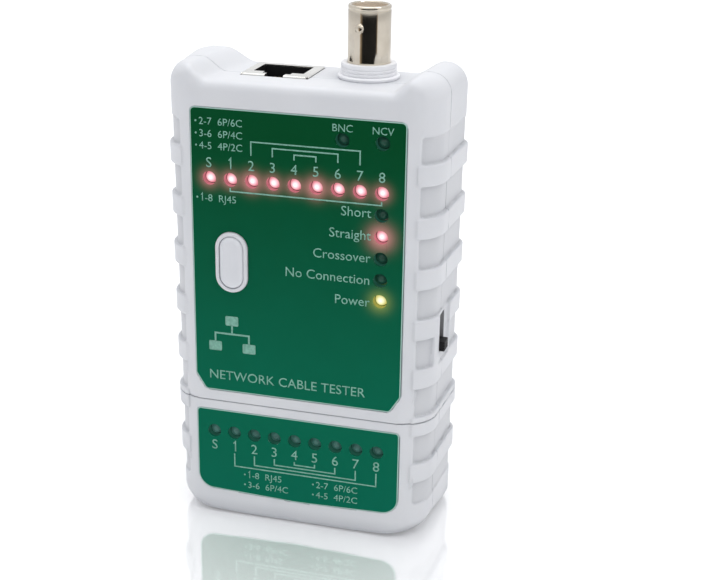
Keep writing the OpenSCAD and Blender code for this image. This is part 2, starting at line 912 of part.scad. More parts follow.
module battery_snap() {
    snap_h = 4.2;
    color("black") translate([0, dep(battery_t0 + battery_d / 2), battery_z1 + 0.1]) difference() {
        union() {
            translate([-stud_x, -snap_d / 2, 0]) cube([2 * stud_x, snap_d, snap_h]);
            for (s = [-1, 1]) translate([s * stud_x, 0, 0]) cylinder(d = snap_d, h = snap_h);
        }
        for (s = [-1, 1]) translate([s * stud_x, 0, -1]) cylinder(d = 8, h = 3.6);
    }
}

// One battery lead: out of the snap, across the bay and through its floor to the board
module lead(x) {
    snap_t = battery_t0 + battery_d / 2 - snap_d / 2;
    bars([[x, lead_z]], 1.3, pcb_t1, snap_t);
    bars([[x, lead_z]], 1.8, pcb_t1, pcb_t1 + 0.6);
}

module battery_lead_red() {
    color("red") lead(lead_x);
}

module battery_lead_black() {
    color("black") lead(-lead_x);
}

module case_screws() {
    color("silver") for (x = [-boss_x, boss_x], z = boss_zs) case_screw(x, z);
}

module remote_front_shell() {
    color("whitesmoke") {
        difference() {
            intersection() {
                difference() {
                    case_form();
                    case_space(wall, remote_z - wall);
                }
                half_space(true);
                slab(-1, remote_z);
            }
            through_depth(-1, label_t) lower_label_outline(0.1);
            bars(remote_spots, led_d + 0.3, -1, wall + 1);
            jack_opening(0, remote_z - wall - 1);
        }
        for (x = [-boss_x, boss_x])
            difference() {
                front_boss(x, remote_boss_z, seam_t);
                translate([x, dep(3), remote_boss_z]) rotate([-90, 0, 0]) cylinder(d = screw_d + 0.1, h = 10);
            }
        for (p = remote_pcb_screw_spots) board_post(p);
    }
}

module remote_rear_shell() {
    color("whitesmoke") difference() {
        union() {
            intersection() {
                difference() {
                    case_form();
                    case_space(wall, remote_z - wall);
                }
                half_space(false);
                slab(-1, remote_z);
            }
            for (x = [-boss_x, boss_x]) rear_boss(x, remote_boss_z);
        }
        for (x = [-boss_x, boss_x]) rear_boss_bore(x, remote_boss_z);
        tongues(tongue_z - 4, remote_z + 1, tongue_gap);
        jack_opening(0, remote_z - wall - 1);
    }
}

module remote_label() {
    color("darkgreen") difference() {
        through_depth(-0.05, label_t) lower_label_outline(0);
        bars(remote_spots, led_d + 0.3, -1, 1);
    }
}

module remote_pcb() {
    color("seagreen") difference() {
        board(remote_pcb_z);
        leg_bars(remote_spots);
        bars(remote_pcb_screw_spots, 2.3, pcb_t0 - 1, pcb_t1 + 1);
        bars([[-boss_x, remote_boss_z], [boss_x, remote_boss_z]], boss_d + 0.6, pcb_t0 - 1, pcb_t1 + 1);
    }
}

module remote_pcb_screws() {
    color("silver") for (p = remote_pcb_screw_spots) board_screw(p);
}

module remote_leds() {
    color("maroon") for (p = remote_spots) indicator(p);
}

module remote_jack_shield() {
    jack_shield(0, remote_z - 0.2);
}

module remote_jack_housing() {
    jack_housing(0, remote_z - 0.2);
}

module remote_jack_contacts() {
    jack_contacts(0, remote_z - 0.2);
}

module remote_ic() {
    color("dimgray") chip(x = -14.5, z = 15, w = 3.9, h = 8.7, legs = 6);
}

module remote_resistors() {
    color("black") for (i = [0:3]) translate([13 + 2 * i, dep(pcb_t1), 13]) chip_resistor(1.2, 2);
}

module remote_screws() {
    color("silver") for (x = [-boss_x, boss_x]) case_screw(x, remote_boss_z);
}

front_shell();
rear_shell();
front_label();
main_pcb();
pcb_screws();
wiremap_leds();
status_leds();
port_leds();
main_jack_shield();
main_jack_housing();
main_jack_contacts();
bnc_housing();
bnc_barrel();
bnc_insulator();
bnc_center_contact();
microcontroller();
driver_ics();
resistors();
capacitors();
crystal();
ncv_antenna();
switch_frame();
switch_terminals();
power_switch_slider();
test_button();
tact_switch_body();
tact_switch_plunger();
battery();
battery_terminals();
battery_snap();
battery_lead_red();
battery_lead_black();
battery_cover();
case_screws();
remote_front_shell();
remote_rear_shell();
remote_label();
remote_pcb();
remote_pcb_screws();
remote_leds();
remote_jack_shield();
remote_jack_housing();
remote_jack_contacts();
remote_ic();
remote_resistors();
remote_screws();
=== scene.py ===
"""Looks of a handheld network cable tester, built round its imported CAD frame.

Lengths are in millimetres until a mesh is made. X runs right, Y runs into the case, Z runs up.
"""

import json
import math

import bmesh
import bpy
import numpy as np
from mathutils import Matrix, Vector


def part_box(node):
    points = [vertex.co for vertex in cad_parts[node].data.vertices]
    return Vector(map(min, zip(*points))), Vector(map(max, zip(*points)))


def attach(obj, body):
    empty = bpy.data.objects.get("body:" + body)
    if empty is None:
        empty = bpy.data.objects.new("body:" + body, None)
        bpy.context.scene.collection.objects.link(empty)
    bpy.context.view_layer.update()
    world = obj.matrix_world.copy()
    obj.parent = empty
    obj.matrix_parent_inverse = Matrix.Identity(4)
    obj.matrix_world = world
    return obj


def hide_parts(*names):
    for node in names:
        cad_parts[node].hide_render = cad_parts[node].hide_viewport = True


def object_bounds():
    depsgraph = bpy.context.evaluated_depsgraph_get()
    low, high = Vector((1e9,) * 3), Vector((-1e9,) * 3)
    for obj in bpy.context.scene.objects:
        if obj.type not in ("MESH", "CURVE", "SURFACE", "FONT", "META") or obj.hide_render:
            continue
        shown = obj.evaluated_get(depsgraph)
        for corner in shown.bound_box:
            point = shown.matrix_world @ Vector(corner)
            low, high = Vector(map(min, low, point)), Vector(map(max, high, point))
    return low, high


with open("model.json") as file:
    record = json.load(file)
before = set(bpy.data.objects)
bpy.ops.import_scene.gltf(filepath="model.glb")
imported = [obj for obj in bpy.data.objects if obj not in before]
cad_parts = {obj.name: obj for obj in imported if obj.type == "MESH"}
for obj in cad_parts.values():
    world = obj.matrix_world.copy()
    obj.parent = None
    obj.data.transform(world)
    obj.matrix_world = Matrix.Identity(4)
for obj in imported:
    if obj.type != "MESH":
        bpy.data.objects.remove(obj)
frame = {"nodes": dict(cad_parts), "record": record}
cad_low, cad_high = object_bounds()

MM = 0.001
SIDES = (-1, 1)


class Box:
    """Box of a CAD node at rest, in millimetres."""

    def __init__(self, name):
        self.low, self.high = (np.array(corner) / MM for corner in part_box(name))
        self.mid, self.size = (self.low + self.high) / 2, self.high - self.low


# Driving dimensions, from the frame
front_box, rear_box, remote_box = Box("front_shell"), Box("rear_shell"), Box("remote_front_shell")
label_box, remote_label_box = Box("front_label"), Box("remote_label")
button_box, knob_box = Box("test_button"), Box("power_switch_slider")
jack_box, remote_jack_box = Box("main_jack_shield"), Box("remote_jack_shield")
barrel_box, neck_box = Box("bnc_barrel"), Box("bnc_housing")
door_box, battery_box = Box("battery_cover"), Box("battery")
led_box, port_box, remote_led_box = Box("wiremap_leds"), Box("port_leds"), Box("remote_leds")

FRONT_Y, SEAM_Y, BACK_Y = remote_box.low[1], front_box.high[1], rear_box.high[1]
MAIN_Z, REMOTE_Z, CREST_Z = front_box.low[2], remote_box.high[2], front_box.high[2]
REAR_W = 2 * rear_box.high[0]
FRONT_W = REAR_W - 1.7
JACK_PROUD = 0.4
PLATEAU_Z = jack_box.high[2] - JACK_PROUD
SHOULDER_H = CREST_Z - PLATEAU_Z - 0.5
FRONT_R, REAR_R = 8.0, 4.0
WALL, BACK_WALL = 2.0, 2.5

# Grip ribs and the pockets between them
RIB_COUNT, RIB_PITCH, RIB_H = 7, 12.15, 4.9
RIB_TOP_Z = 92.4
POCKET_DEPTH, HEAD_STEP, FOOT_STEP = 0.9, 0.7, 0.62
RIB_PROUD = 0.35
POCKET_X = 28.2
# The flanks lean out by DRAFT per millimetre of height above DRAFT_Z
DRAFT, DRAFT_Z = 0.0105, 50.0
HEAD_Z = RIB_TOP_Z + 6.1
FOOT_Z = RIB_TOP_Z - (RIB_COUNT - 1) * RIB_PITCH - RIB_H - 5.8

# Indicators
LED_D, LED_FLANGE = 3.0, 0.8
LED_HOLE = LED_D + 0.3
LED_PITCH = (led_box.size[0] - LED_D - LED_FLANGE) / 8
LED_X8 = led_box.high[0] - (LED_D + LED_FLANGE) / 2
LED_Z, REMOTE_LED_Z, PORT_Z = led_box.mid[2], remote_led_box.mid[2], port_box.mid[2]
LED_TIP_Y, LED_BASE_Y = led_box.low[1], led_box.low[1] + 5.3
COLUMNS = [LED_X8 - (8 - i) * LED_PITCH for i in range(9)]
WIRE_SPOTS = [(x, LED_Z) for x in COLUMNS]
STATUS_SPOTS = [(LED_X8, LED_Z - k * LED_PITCH) for k in range(1, 6)]
PORT_SPOTS = [(LED_X8, PORT_Z), (port_box.low[0] + (LED_D + LED_FLANGE) / 2, PORT_Z)]
REMOTE_SPOTS = [(x, REMOTE_LED_Z) for x in COLUMNS]

# Sockets, controls and fasteners
BUTTON_FLANGE = 0.9
COLLAR_W, COLLAR_OUT = 1.15, 0.7
BNC_AXIS = (barrel_box.mid[0], neck_box.mid[1])
BNC_R, BNC_BORE_R = 4.85, 4.065
SLOT_Z = (45.9, 55.3)
SLOT_W = 4.4
BOSS_X, BOSS_ZS, REMOTE_BOSS_ZS = 25.3, (37.5, 99.5), (15.0,)
SCREW_HEAD_Y = FRONT_Y + 20.5
DOCK_EDGE_R = 0.11


# Distance fields of the case
def smooth(start, end, v):
    t = np.clip((v - start) / (end - start), 0, 1)
    return t * t * (3 - 2 * t)


def round_max(a, b, r):
    """Larger of two distances, with the edge between them rounded to radius r."""
    return np.minimum(np.maximum(a, b), -r) + np.hypot(np.maximum(a + r, 0), np.maximum(b + r, 0))


def round_min(a, b, r):
    return -round_max(-a, -b, r)


def plan_distance(x, y, narrow):
    """Distance outside the plan outline, whose flanks are moved in by narrow."""
    ax = np.abs(x)
    fx, fy = FRONT_W / 2 - FRONT_R - narrow, FRONT_Y + FRONT_R
    rx, ry = REAR_W / 2 - REAR_R - narrow, BACK_Y - REAR_R
    span = (REAR_W / 2 - REAR_R - FRONT_W / 2 + FRONT_R, ry - fy)
    angle = math.atan2(span[1], span[0]) - math.acos((FRONT_R - REAR_R) / math.hypot(*span))
    nx, ny = math.cos(angle), math.sin(angle)
    vx, vy = ax - fx, y - fy
    wx, wy = ax - rx, y - ry
    flank = vx * nx + vy * ny - FRONT_R
    d = np.maximum(np.maximum(FRONT_Y - y, y - BACK_Y), flank)
    at_front = (vx > 0) & (vy * nx - vx * ny < 0)
    d = np.where(at_front, np.hypot(vx, vy) - FRONT_R, d)
    at_rear = (wx > 0) & (wy * nx - wx * ny > 0)
    return np.where(at_rear, np.hypot(wx, wy) - REAR_R, d)


def flank_distance(x, y, z, narrow=0.0):
    """Plan distance at a height, with the lean of the flanks."""
    return plan_distance(x, y, narrow - DRAFT * (z - DRAFT_Z))


def shoulder(x, y):
    """Share of the shoulder's rise at a place on the top, and how steep it is there."""
    back = smooth(FRONT_Y + 3, BACK_Y - 5, y)
    start = np.where(x < 0, 21.2 - 3.9 * back, 21.2 + 0.2 * back)
    width = 5.2 + np.where(x < 0, 2.4, 1.4) * back
    share = np.clip((np.abs(x) - start) / width, 0, 1)
    return share * share * (3 - 2 * share), 6 * share * (1 - share) * SHOULDER_H / width


def pocket_start(y):
    """Where the pockets begin, from the middle of the case; further out at the back."""
    return POCKET_X + (REAR_W / 2 - REAR_R - POCKET_X) * smooth(-3, 3, y)


def rib_pockets(x, y, z):
    """Distance to the pockets between the grip ribs."""
    gap = 1e3
    for i in range(RIB_COUNT + 1):
        top = HEAD_Z if i == 0 else RIB_TOP_Z - (i - 1) * RIB_PITCH - RIB_H
        bottom = FOOT_Z if i == RIB_COUNT else RIB_TOP_Z - i * RIB_PITCH
        gap = np.minimum(gap, np.abs(z - (top + bottom) / 2) - (top - bottom) / 2)
    window = round_max(gap, pocket_start(y) - np.abs(x), 0.7)
    return round_max(window, -flank_distance(x, y, z) - POCKET_DEPTH, 0.16)


def rib_bands(x, y, z):
    """Distance to the grip ribs, which stand proud of the case's corners."""
    gap = np.abs(z - RIB_TOP_Z + RIB_H / 2)
    for i in range(1, RIB_COUNT):
        gap = np.minimum(gap, np.abs(z - RIB_TOP_Z + i * RIB_PITCH + RIB_H / 2))
    window = round_max(gap - RIB_H / 2, pocket_start(y) - 0.6 - np.abs(x), 0.6)
    return round_max(window, flank_distance(x, y, z), 0.3)


def switch_pad(x, y, z):
    """Distance to the raised pad round the power switch, on the right flank."""
    edge_z = (RIB_TOP_Z - 4 * RIB_PITCH, RIB_TOP_Z - 3 * RIB_PITCH - RIB_H)
    across = np.abs(y - FRONT_Y - 11) - 6
    along = np.abs(z - sum(edge_z) / 2) - (edge_z[1] - edge_z[0]) / 2 - 0.4
    pad = round_max(np.maximum(across, along), plan_distance(x, y, 0), 0.3)
    return np.maximum(pad, 20 - x)


def switch_dish(x, y, z):
    """Distance to the shallow pocket in the pad."""
    window = round_max(np.abs(y - FRONT_Y - 11.25) - 4.25, np.abs(z - 50.7) - 7.3, 0.7)
    return round_max(window, REAR_W / 2 - 1.15 - x, 0.2)


def case_form(x, y, z):
    """Distance to the outer form of the docked case."""
    ax = np.abs(x)
    at_head, at_foot = smooth(HEAD_Z - 1.3, HEAD_Z - 0.2, z), smooth(FOOT_Z + 1.3, FOOT_Z + 0.2, z)
    narrow = HEAD_STEP * at_head + FOOT_STEP * at_foot
    lowered = RIB_PROUD * smooth(24.5, 28, ax) * smooth(BACK_Y - 1, BACK_Y - 5, y) * (1 - at_head - at_foot)
    rise, slope = shoulder(x, y)
    top = (z - PLATEAU_Z - SHOULDER_H * rise) / np.hypot(1, slope)
    flank_r = 5.2 - 1.4 * smooth(FRONT_Y + 5, BACK_Y - 6, y)
    outer = smooth(25, 32, ax)
    top_r = flank_r + (2.2 - flank_r) * smooth(FRONT_Y + 9, FRONT_Y + 3, y) * (1 - outer)
    top_r = top_r + (6.6 - flank_r) * smooth(BACK_Y - 9, BACK_Y - 3, y) * (1 - 0.3 * outer)
    d = round_max(flank_distance(x, y, z, narrow) + lowered, top, top_r)
    bow = 0.8 * np.clip((ax - 12) / 17, 0, 1) ** 1.6
    foot_r = 1.2 + (2.9 - 2.4 * smooth(FRONT_Y + 6, BACK_Y - 5, y)) * smooth(21, 30, ax)
    d = round_max(d, bow - z, foot_r)
    d = round_max(d, -rib_pockets(x, y, z), 0.3)
    d = round_min(d, rib_bands(x, y, z), 0.12)
    d = round_min(d, switch_pad(x, y, z), 0.25)
    return round_max(d, -switch_dish(x, y, z), 0.2)


def cavity(x, y, z, low, high):
    """Distance to the room inside the case, between two heights."""
    side = plan_distance(x, y, POCKET_DEPTH) + WALL
    top = PLATEAU_Z + SHOULDER_H * shoulder(x, y)[0]
    inner = round_max(side, z - np.minimum(top - WALL, high), 2.5)
    inner = round_max(inner, y - (BACK_Y - BACK_WALL), 1)
    return np.maximum(inner, low - z)


def shell_field(front, main):
    """Distance field of one of the four case shells."""

    def field(x, y, z):
        seam = y - SEAM_Y if front else SEAM_Y - y
        dock = MAIN_Z - z if main else z - REMOTE_Z
        room = (MAIN_Z + WALL, CREST_Z) if main else (WALL, REMOTE_Z - WALL)
        d = round_max(case_form(x, y, z), seam, 0.045)
        d = round_max(d, dock, DOCK_EDGE_R)
        return round_max(d, -cavity(x, y, z, *room), 0.25)

    return field


# Surface of a field
def graded(start, end, fine_spans, fine, coarse):
    """Grid lines from start to end, close together inside the fine spans."""
    lines = [start]
    while lines[-1] < end:
        v = lines[-1]
        near = any(low - coarse < v < high for low, high in fine_spans)
        lines.append(v + (fine if near else coarse))
    return np.array(lines)


CORNERS = np.array([(i, j, k) for i in (0, 1) for j in (0, 1) for k in (0, 1)])
EDGES = [(a, b) for a in range(8) for b in range(a + 1, 8) if np.abs(CORNERS[a] - CORNERS[b]).sum() == 1]


def surface_net(field, lines):
    """Quad mesh (vertices, faces) of the zero level of field over a grid of lines (xs, ys, zs)."""
    xs, ys, zs = lines
    v = field(xs[:, None, None], ys[None, :, None], zs[None, None, :])
    inside = v < 0
    cells = tuple(n - 1 for n in v.shape)
    count = np.zeros(cells, np.int8)
    for i, j, k in CORNERS:
        count += inside[i : i + cells[0], j : j + cells[1], k : k + cells[2]]
    active = np.argwhere((count > 0) & (count < 8))
    index = np.full(cells, -1)
    index[tuple(active.T)] = np.arange(len(active))
    places, values = [], []
    for corner in CORNERS:
        at = active + corner
        places.append(np.stack([xs[at[:, 0]], ys[at[:, 1]], zs[at[:, 2]]], 1))
        values.append(v[tuple(at.T)])
    total, hits = np.zeros((len(active), 3)), np.zeros(len(active))
    for a, b in EDGES:
        crossed = (values[a] < 0) != (values[b] < 0)
        share = np.where(crossed, values[a] / np.where(crossed, values[a] - values[b], 1), 0)
        total += crossed[:, None] * (places[a] + share[:, None] * (places[b] - places[a]))
        hits += crossed
    points = settle(field, total / hits[:, None], places[0], places[7])
    faces = []
    for axis in range(3):
        p, q = [a for a in range(3) if a != axis]
        here = np.moveaxis(inside, (axis, p, q), (0, 1, 2))
        idx = np.moveaxis(index, (axis, p, q), (0, 1, 2))
        change = here[:-1, 1:-1, 1:-1] != here[1:, 1:-1, 1:-1]
        i, j, k = np.argwhere(change).T
        quad = np.stack([idx[i, j, k], idx[i, j + 1, k], idx[i, j + 1, k + 1], idx[i, j, k + 1]], 1)
        outwards = here[:-1, 1:-1, 1:-1][i, j, k] == (axis != 1)
        quad[~outwards] = quad[~outwards][:, ::-1]
        faces.append(quad)
    return points, np.concatenate(faces)


def settle(field, points, low, high):
    """Points moved onto the surface, each kept within its own cell."""
    h = 0.02
    slack = 0.1 * (high - low)
    for _ in range(3):
        grad = np.stack([field(*(points + s).T) - field(*(points - s).T) for s in h * np.eye(3)], 1) / (2 * h)
        size = np.maximum((grad**2).sum(1), 0.2)
        points = points - (field(*points.T) / size)[:, None] * grad
        points = np.clip(points, low - slack, high + slack)
    return points


# Outlines and simple solids
def unit(v):
    return v / np.linalg.norm(v, axis=-1, keepdims=True)


def rounded(corners, steps=8):
    """Closed outline through corners of (u, v, radius), each rounded by an arc."""
    out = []
    for i, (u, v, r) in enumerate(corners):
        here = np.array((u, v))
        before = unit(np.array(corners[i - 1][:2]) - here)
        after = unit(np.array(corners[(i + 1) % len(corners)][:2]) - here)
        half = math.acos(np.clip(before @ after, -1, 1)) / 2
        centre = here + unit(before + after) * r / math.sin(half)
        start, end = here + before * r / math.tan(half), here + after * r / math.tan(half)
        a0 = math.atan2(*(start - centre)[::-1])
        a1 = math.atan2(*(end - centre)[::-1])
        turn = (a1 - a0 + math.pi) % (2 * math.pi) - math.pi
        out += [centre + r * np.array((math.cos(a), math.sin(a))) for a in a0 + turn * np.linspace(0, 1, steps)]
    return np.array(out)


def rectangle(u, v, w, h, r, steps=8):
    """Rounded rectangle centred on (u, v)."""
    sides = [(-1, -1), (1, -1), (1, 1), (-1, 1)]
    return rounded([(u + a * w / 2, v + b * h / 2, r) for a, b in sides], steps)


def circle(u, v, r, segments=48):
    a = np.linspace(0, 2 * math.pi, segments, endpoint=False)
    return np.stack([u + r * np.cos(a), v + r * np.sin(a)], 1)


def inset(outline, distance):
    """Outline moved inwards along its own normals; it runs anticlockwise."""
    before = unit(outline - np.roll(outline, 1, 0))
    after = unit(np.roll(outline, -1, 0) - outline)
    middle = np.stack([-before[:, 1] - after[:, 1], before[:, 0] + after[:, 0]], 1)
    middle = middle / (middle * middle).sum(1)[:, None] * 2
    return outline + middle * distance


AXES = {"x": (2, 0, 1), "y": (0, 2, 1), "z": (0, 1, 2)}


def placed(uv, w, axis):
    """3D points of a flat outline (u, v) at w along an axis: x takes (y, z), y takes (x, z), z takes (x, y)."""
    return np.column_stack([uv, np.full(len(uv), w)])[:, AXES[axis]]


def ring_faces(rings, n):
    """Quads between rings of n points each."""
    ahead = [(i, (i + 1) % n) for i in range(n)]
    return [[r * n + i, r * n + j, (r + 1) * n + j, (r + 1) * n + i] for r in range(rings - 1) for i, j in ahead]


def prism(outline, profile, axis="y"):
    """Solid with rings of the outline at (inset, position along the axis) and flat caps.

    An outline given as a function of growth starts with a ring that closes on itself instead.
    """
    closes = callable(outline)
    rings = []
    for d, w in profile:
        shape = outline(-d) if closes else inset(outline, d) if d else outline
        rings.append(placed(shape, w, axis))
    n = len(rings[0])
    faces = [[(len(rings) - 1) * n + i for i in range(n)]]
    if not closes:
        faces.append(list(range(n))[::-1])
    return np.concatenate(rings), faces + ring_faces(len(rings), n)


def slab(outline, low, high, edge, axis="y", edges=(True, True)):
    """Prism with its chosen rims rounded by edge."""
    turn = [(edge * (1 - math.sin(a)), edge * (1 - math.cos(a))) for a in np.linspace(0, math.pi / 2, 4)]
    start = [(d, low + w) for d, w in turn] if edges[0] else [(0, low)]
    end = [(d, high - w) for d, w in reversed(turn)] if edges[1] else [(0, high)]
    return prism(outline, start + end, axis)


def lathe(profile, centre, axis="z", segments=72):
    """Closed ring of (radius, height) points turned round an axis through centre."""
    points = [placed(circle(*centre[:2], r, segments), centre[2] + h, axis) for r, h in profile]
    faces = ring_faces(len(profile), segments)
    if profile[0] != profile[-1]:
        faces.append(list(range(segments))[::-1])
        faces.append([(len(profile) - 1) * segments + s for s in range(segments)])
    return np.concatenate(points), faces


def bar(a, b, r, axis, spot, segments=40):
    """Plain round bar for cutting holes."""
    return prism(circle(*spot, r, segments), [(0, a), (0, b)], axis)


def box_part(low, high, r=0.4, edge=0.0, axis="y"):
    """Box with rounded corners between two points."""
    w = "xyz".index(axis)
    u, v = [a for a in range(3) if a != w]
    outline = rectangle((low[u] + high[u]) / 2, (low[v] + high[v]) / 2, high[u] - low[u], high[v] - low[v], r, 5)
    return slab(outline, low[w], high[w], edge, axis, (edge > 0,) * 2)


# Meshes
def add_object(name, data):
    obj = bpy.data.objects.new(name, data)
    bpy.context.scene.collection.objects.link(obj)
    return obj


def evaluated(obj):
    """New mesh of an object with its modifiers applied."""
    bpy.context.view_layer.update()
    graph = bpy.context.evaluated_depsgraph_get()
    return bpy.data.meshes.new_from_object(obj.evaluated_get(graph))


def make(name, parts, materials, sharp=35.0):
    """Mesh object from parts of (vertices, faces) or (vertices, faces, material index)."""
    vertices, faces, slots, base = [], [], [], 0
    for v, f, *look in parts:
        vertices.append(v)
        faces += [[int(i) + base for i in face] for face in f]
        slots += (look or [0]) * len(f)
        base += len(v)
    mesh = bpy.data.meshes.new(name)
    mesh.from_pydata((np.concatenate(vertices) * MM).tolist(), [], faces)
    mesh.validate()
    for m in materials:
        mesh.materials.append(m)
    mesh.polygons.foreach_set("material_index", slots)
    clean(mesh)
    obj = add_object(name, mesh)
    shade(obj, sharp)
    return obj


def clean(mesh):
    """Turns the faces outwards and joins vertices that coincide."""
    bm = bmesh.new()
    bm.from_mesh(mesh)
    bmesh.ops.recalc_face_normals(bm, faces=bm.faces)
    bmesh.ops.remove_doubles(bm, verts=bm.verts, dist=1e-7)
    bm.to_mesh(mesh)
    bm.free()


def shade(obj, sharp=35.0):
    mesh = obj.data
    mesh.polygons.foreach_set("use_smooth", [True] * len(mesh.polygons))
    mesh.set_sharp_from_angle(angle=math.radians(sharp))
    obj.modifiers.new("weighted", "WEIGHTED_NORMAL").keep_sharp = True


def combine(obj, tool, operation):
    """Applies a boolean of obj with tool, and deletes tool."""
    obj.modifiers.clear()
    modifier = obj.modifiers.new("combine", "BOOLEAN")
    modifier.operation, modifier.solver, modifier.object = operation, "MANIFOLD", tool
    mesh = evaluated(obj)
    obj.modifiers.clear()
    obj.data = mesh
    bpy.data.objects.remove(tool)


def cut(obj, parts, sharp=35.0, looks=(), operation="DIFFERENCE"):
    for part in parts:
        combine(obj, make("tool", [part], looks), operation)
    shade(obj, sharp)


def weld(obj, parts, sharp=35.0):
    cut(obj, parts, sharp, operation="UNION")


def fit(obj, body, slot, *nodes):
    """Rides obj on a body and lets it stand for CAD nodes."""
    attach(obj, body)
    if nodes:
        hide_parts(*nodes)


# Materials
def feed(n, values):
    """Links a node's inputs to sockets, or sets them to plain values."""
    for key, value in values.items():
        if isinstance(value, bpy.types.NodeSocket):
            n.id_data.links.new(value, n.inputs[key])
        else:
            n.inputs[key].default_value = value
    return n


def node(tree, kind, values=None, **settings):
    n = tree.nodes.new("ShaderNode" + kind)
    for key, value in settings.items():
        setattr(n, key, value)
    return feed(n, values or {})


def calc(tree, operation, *values):
    return node(tree, "Math", dict(enumerate(values)), operation=operation).outputs[0]


def vector(tree, operation, *values):
    """Outputs of a vector maths node."""
    return node(tree, "VectorMath", dict(enumerate(values)), operation=operation).outputs


def split(tree, value):
    return node(tree, "SeparateXYZ", {"Vector": value}).outputs


def texture_place(tree, kind="Object"):
    return node(tree, "TexCoord").outputs[kind]


def noise(tree, scale, detail=3.0, stretch=(1, 1, 1)):
    """Noise value in object space; scale is in features per metre."""
    mapped = node(tree, "Mapping", {"Vector": texture_place(tree), "Scale": stretch})
    return node(tree, "TexNoise", {"Vector": mapped.outputs[0], "Scale": scale, "Detail": detail}).outputs["Fac"]


def tone(tree, value, dark, light, low=0.3, high=0.7):
    """Colour between dark and light by a value."""
    ramp = node(tree, "ValToRGB", {"Fac": value})
    for element, position, colour in zip(ramp.color_ramp.elements, (low, high), (dark, light)):
        element.position, element.color = position, (*colour, 1)
    return ramp.outputs["Color"]


def spread(tree, value, low, high, start=0.0, end=1.0):
    ends = {"From Min": start, "From Max": end, "To Min": low, "To Max": high}
    return node(tree, "MapRange", {"Value": value, **ends}).outputs[0]


def mixed_colour(tree, factor, a, b, **settings):
    return node(tree, "Mix", {0: factor, 6: a, 7: b}, data_type="RGBA", **settings).outputs[2]


def start_material(name, **values):
    material = bpy.data.materials.new(name)
    material.use_nodes = True
    tree = material.node_tree
    shader = feed(tree.nodes["Principled BSDF"], {k.replace("_", " "): v for k, v in values.items()})
    return material, tree, shader


def bump(tree, shader, height, strength, distance):
    b = node(tree, "Bump", {"Height": height, "Strength": strength, "Distance": distance})
    feed(shader, {"Normal": b.outputs[0]})


def end_mix(tree, factor, a, b):
    """Sends a mix of two shaders to the material's surface."""
    mix = node(tree, "MixShader", {0: factor, 1: a.outputs[0], 2: b.outputs[0]})
    feed(tree.nodes["Material Output"], {"Surface": mix.outputs[0]})


def shaded(colour, k):
    return tuple(c * k for c in colour)


def surface(name, colour, rough=0.4, metal=0.0, vary=0.06, grain=3000, grain_depth=0.00002, stretch=(1, 1, 1)):
    """Finish with colour drift, uneven gloss and a fine grain."""
    material, tree, shader = start_material(name, Metallic=metal)
    fine = noise(tree, grain, 2, stretch)
    base = tone(tree, noise(tree, 120, 4), shaded(colour, 1 - vary), shaded(colour, 1 + vary))
    feed(shader, {"Base Color": base, "Roughness": spread(tree, fine, rough * 0.8, rough * 1.2)})
    bump(tree, shader, fine, 0.4, grain_depth)
    return material


def case_plastic(name, shade_tint, texture):
    """Satin off-white moulding: fine spark texture, and painted shade in the creases from ambient occlusion."""
    material, tree, shader = start_material(
        name, Coat_Weight=0.12, Coat_Roughness=0.25, Subsurface_Weight=0.12, Subsurface_Radius=(0.0012, 0.0011, 0.001)
    )
    base = tone(tree, noise(tree, 60, 3), shaded((0.765, 0.775, 0.800), shade_tint), shaded((0.805, 0.812, 0.835), shade_tint))
    # Painted shade: ambient occlusion darkens the colour close to creases and, more widely, in the pockets
    for reach, dark, low, high in ((0.0007, (0.80, 0.80, 0.82), 0.25, 0.75), (0.0045, (0.70, 0.705, 0.72), 0.55, 1.0)):
        crease = node(tree, "AmbientOcclusion", {"Distance": reach}, samples=8).outputs["AO"]
        painted_crease_shade = tone(tree, crease, dark, (1, 1, 1), low, high)
        base = mixed_colour(tree, 1.0, base, painted_crease_shade, blend_type="MULTIPLY")
    feed(shader, {"Base Color": base, "Roughness": spread(tree, noise(tree, 240, 3), 0.33, 0.43)})
    bump(tree, shader, noise(tree, 5200, 2), 0.25, texture)
    return material


def glow(tree, place, spot, radius, colour, strength):
    """Coloured halo on the front face round a lit indicator, as a colour socket."""
    centre = node(tree, "CombineXYZ", {"X": spot[0] * MM, "Z": spot[1] * MM}).outputs[0]
    share = calc(tree, "DIVIDE", vector(tree, "DISTANCE", place, centre)["Value"], radius * MM)
    fall = calc(tree, "EXPONENT", calc(tree, "MULTIPLY", calc(tree, "POWER", share, 2.0), -1.0))
    return node(tree, "VectorMath", {0: shaded(colour, strength), "Scale": fall}, operation="SCALE").outputs[0]


def overlay_green(name, low, high, dark, light, halos):
    """Glossy printed overlay: green that lightens downwards, with the halos of lit indicators."""
    material, tree, shader = start_material(name, Specular_IOR_Level=0.05)
    place = texture_place(tree)
    down = spread(tree, split(tree, place)["Z"], 0, 1, low * MM, high * MM)
    level = calc(tree, "ADD", down, calc(tree, "MULTIPLY", noise(tree, 90, 4), 0.16))
    green = tone(tree, level, light, dark, 0.06, 1.08)
    feed(shader, {"Base Color": green, "Roughness": spread(tree, noise(tree, 900, 2), 0.30, 0.42)})
    bump(tree, shader, noise(tree, 2600, 2), 0.15, 0.00001)
    if halos:
        flat = vector(tree, "MULTIPLY", place, (1, 0, 1))[0]
        total = glow(tree, flat, *halos[0])
        for halo in halos[1:]:
            total = vector(tree, "ADD", total, glow(tree, flat, *halo))[0]
        feed(shader, {"Emission Color": total, "Emission Strength": 1.0})
    return material


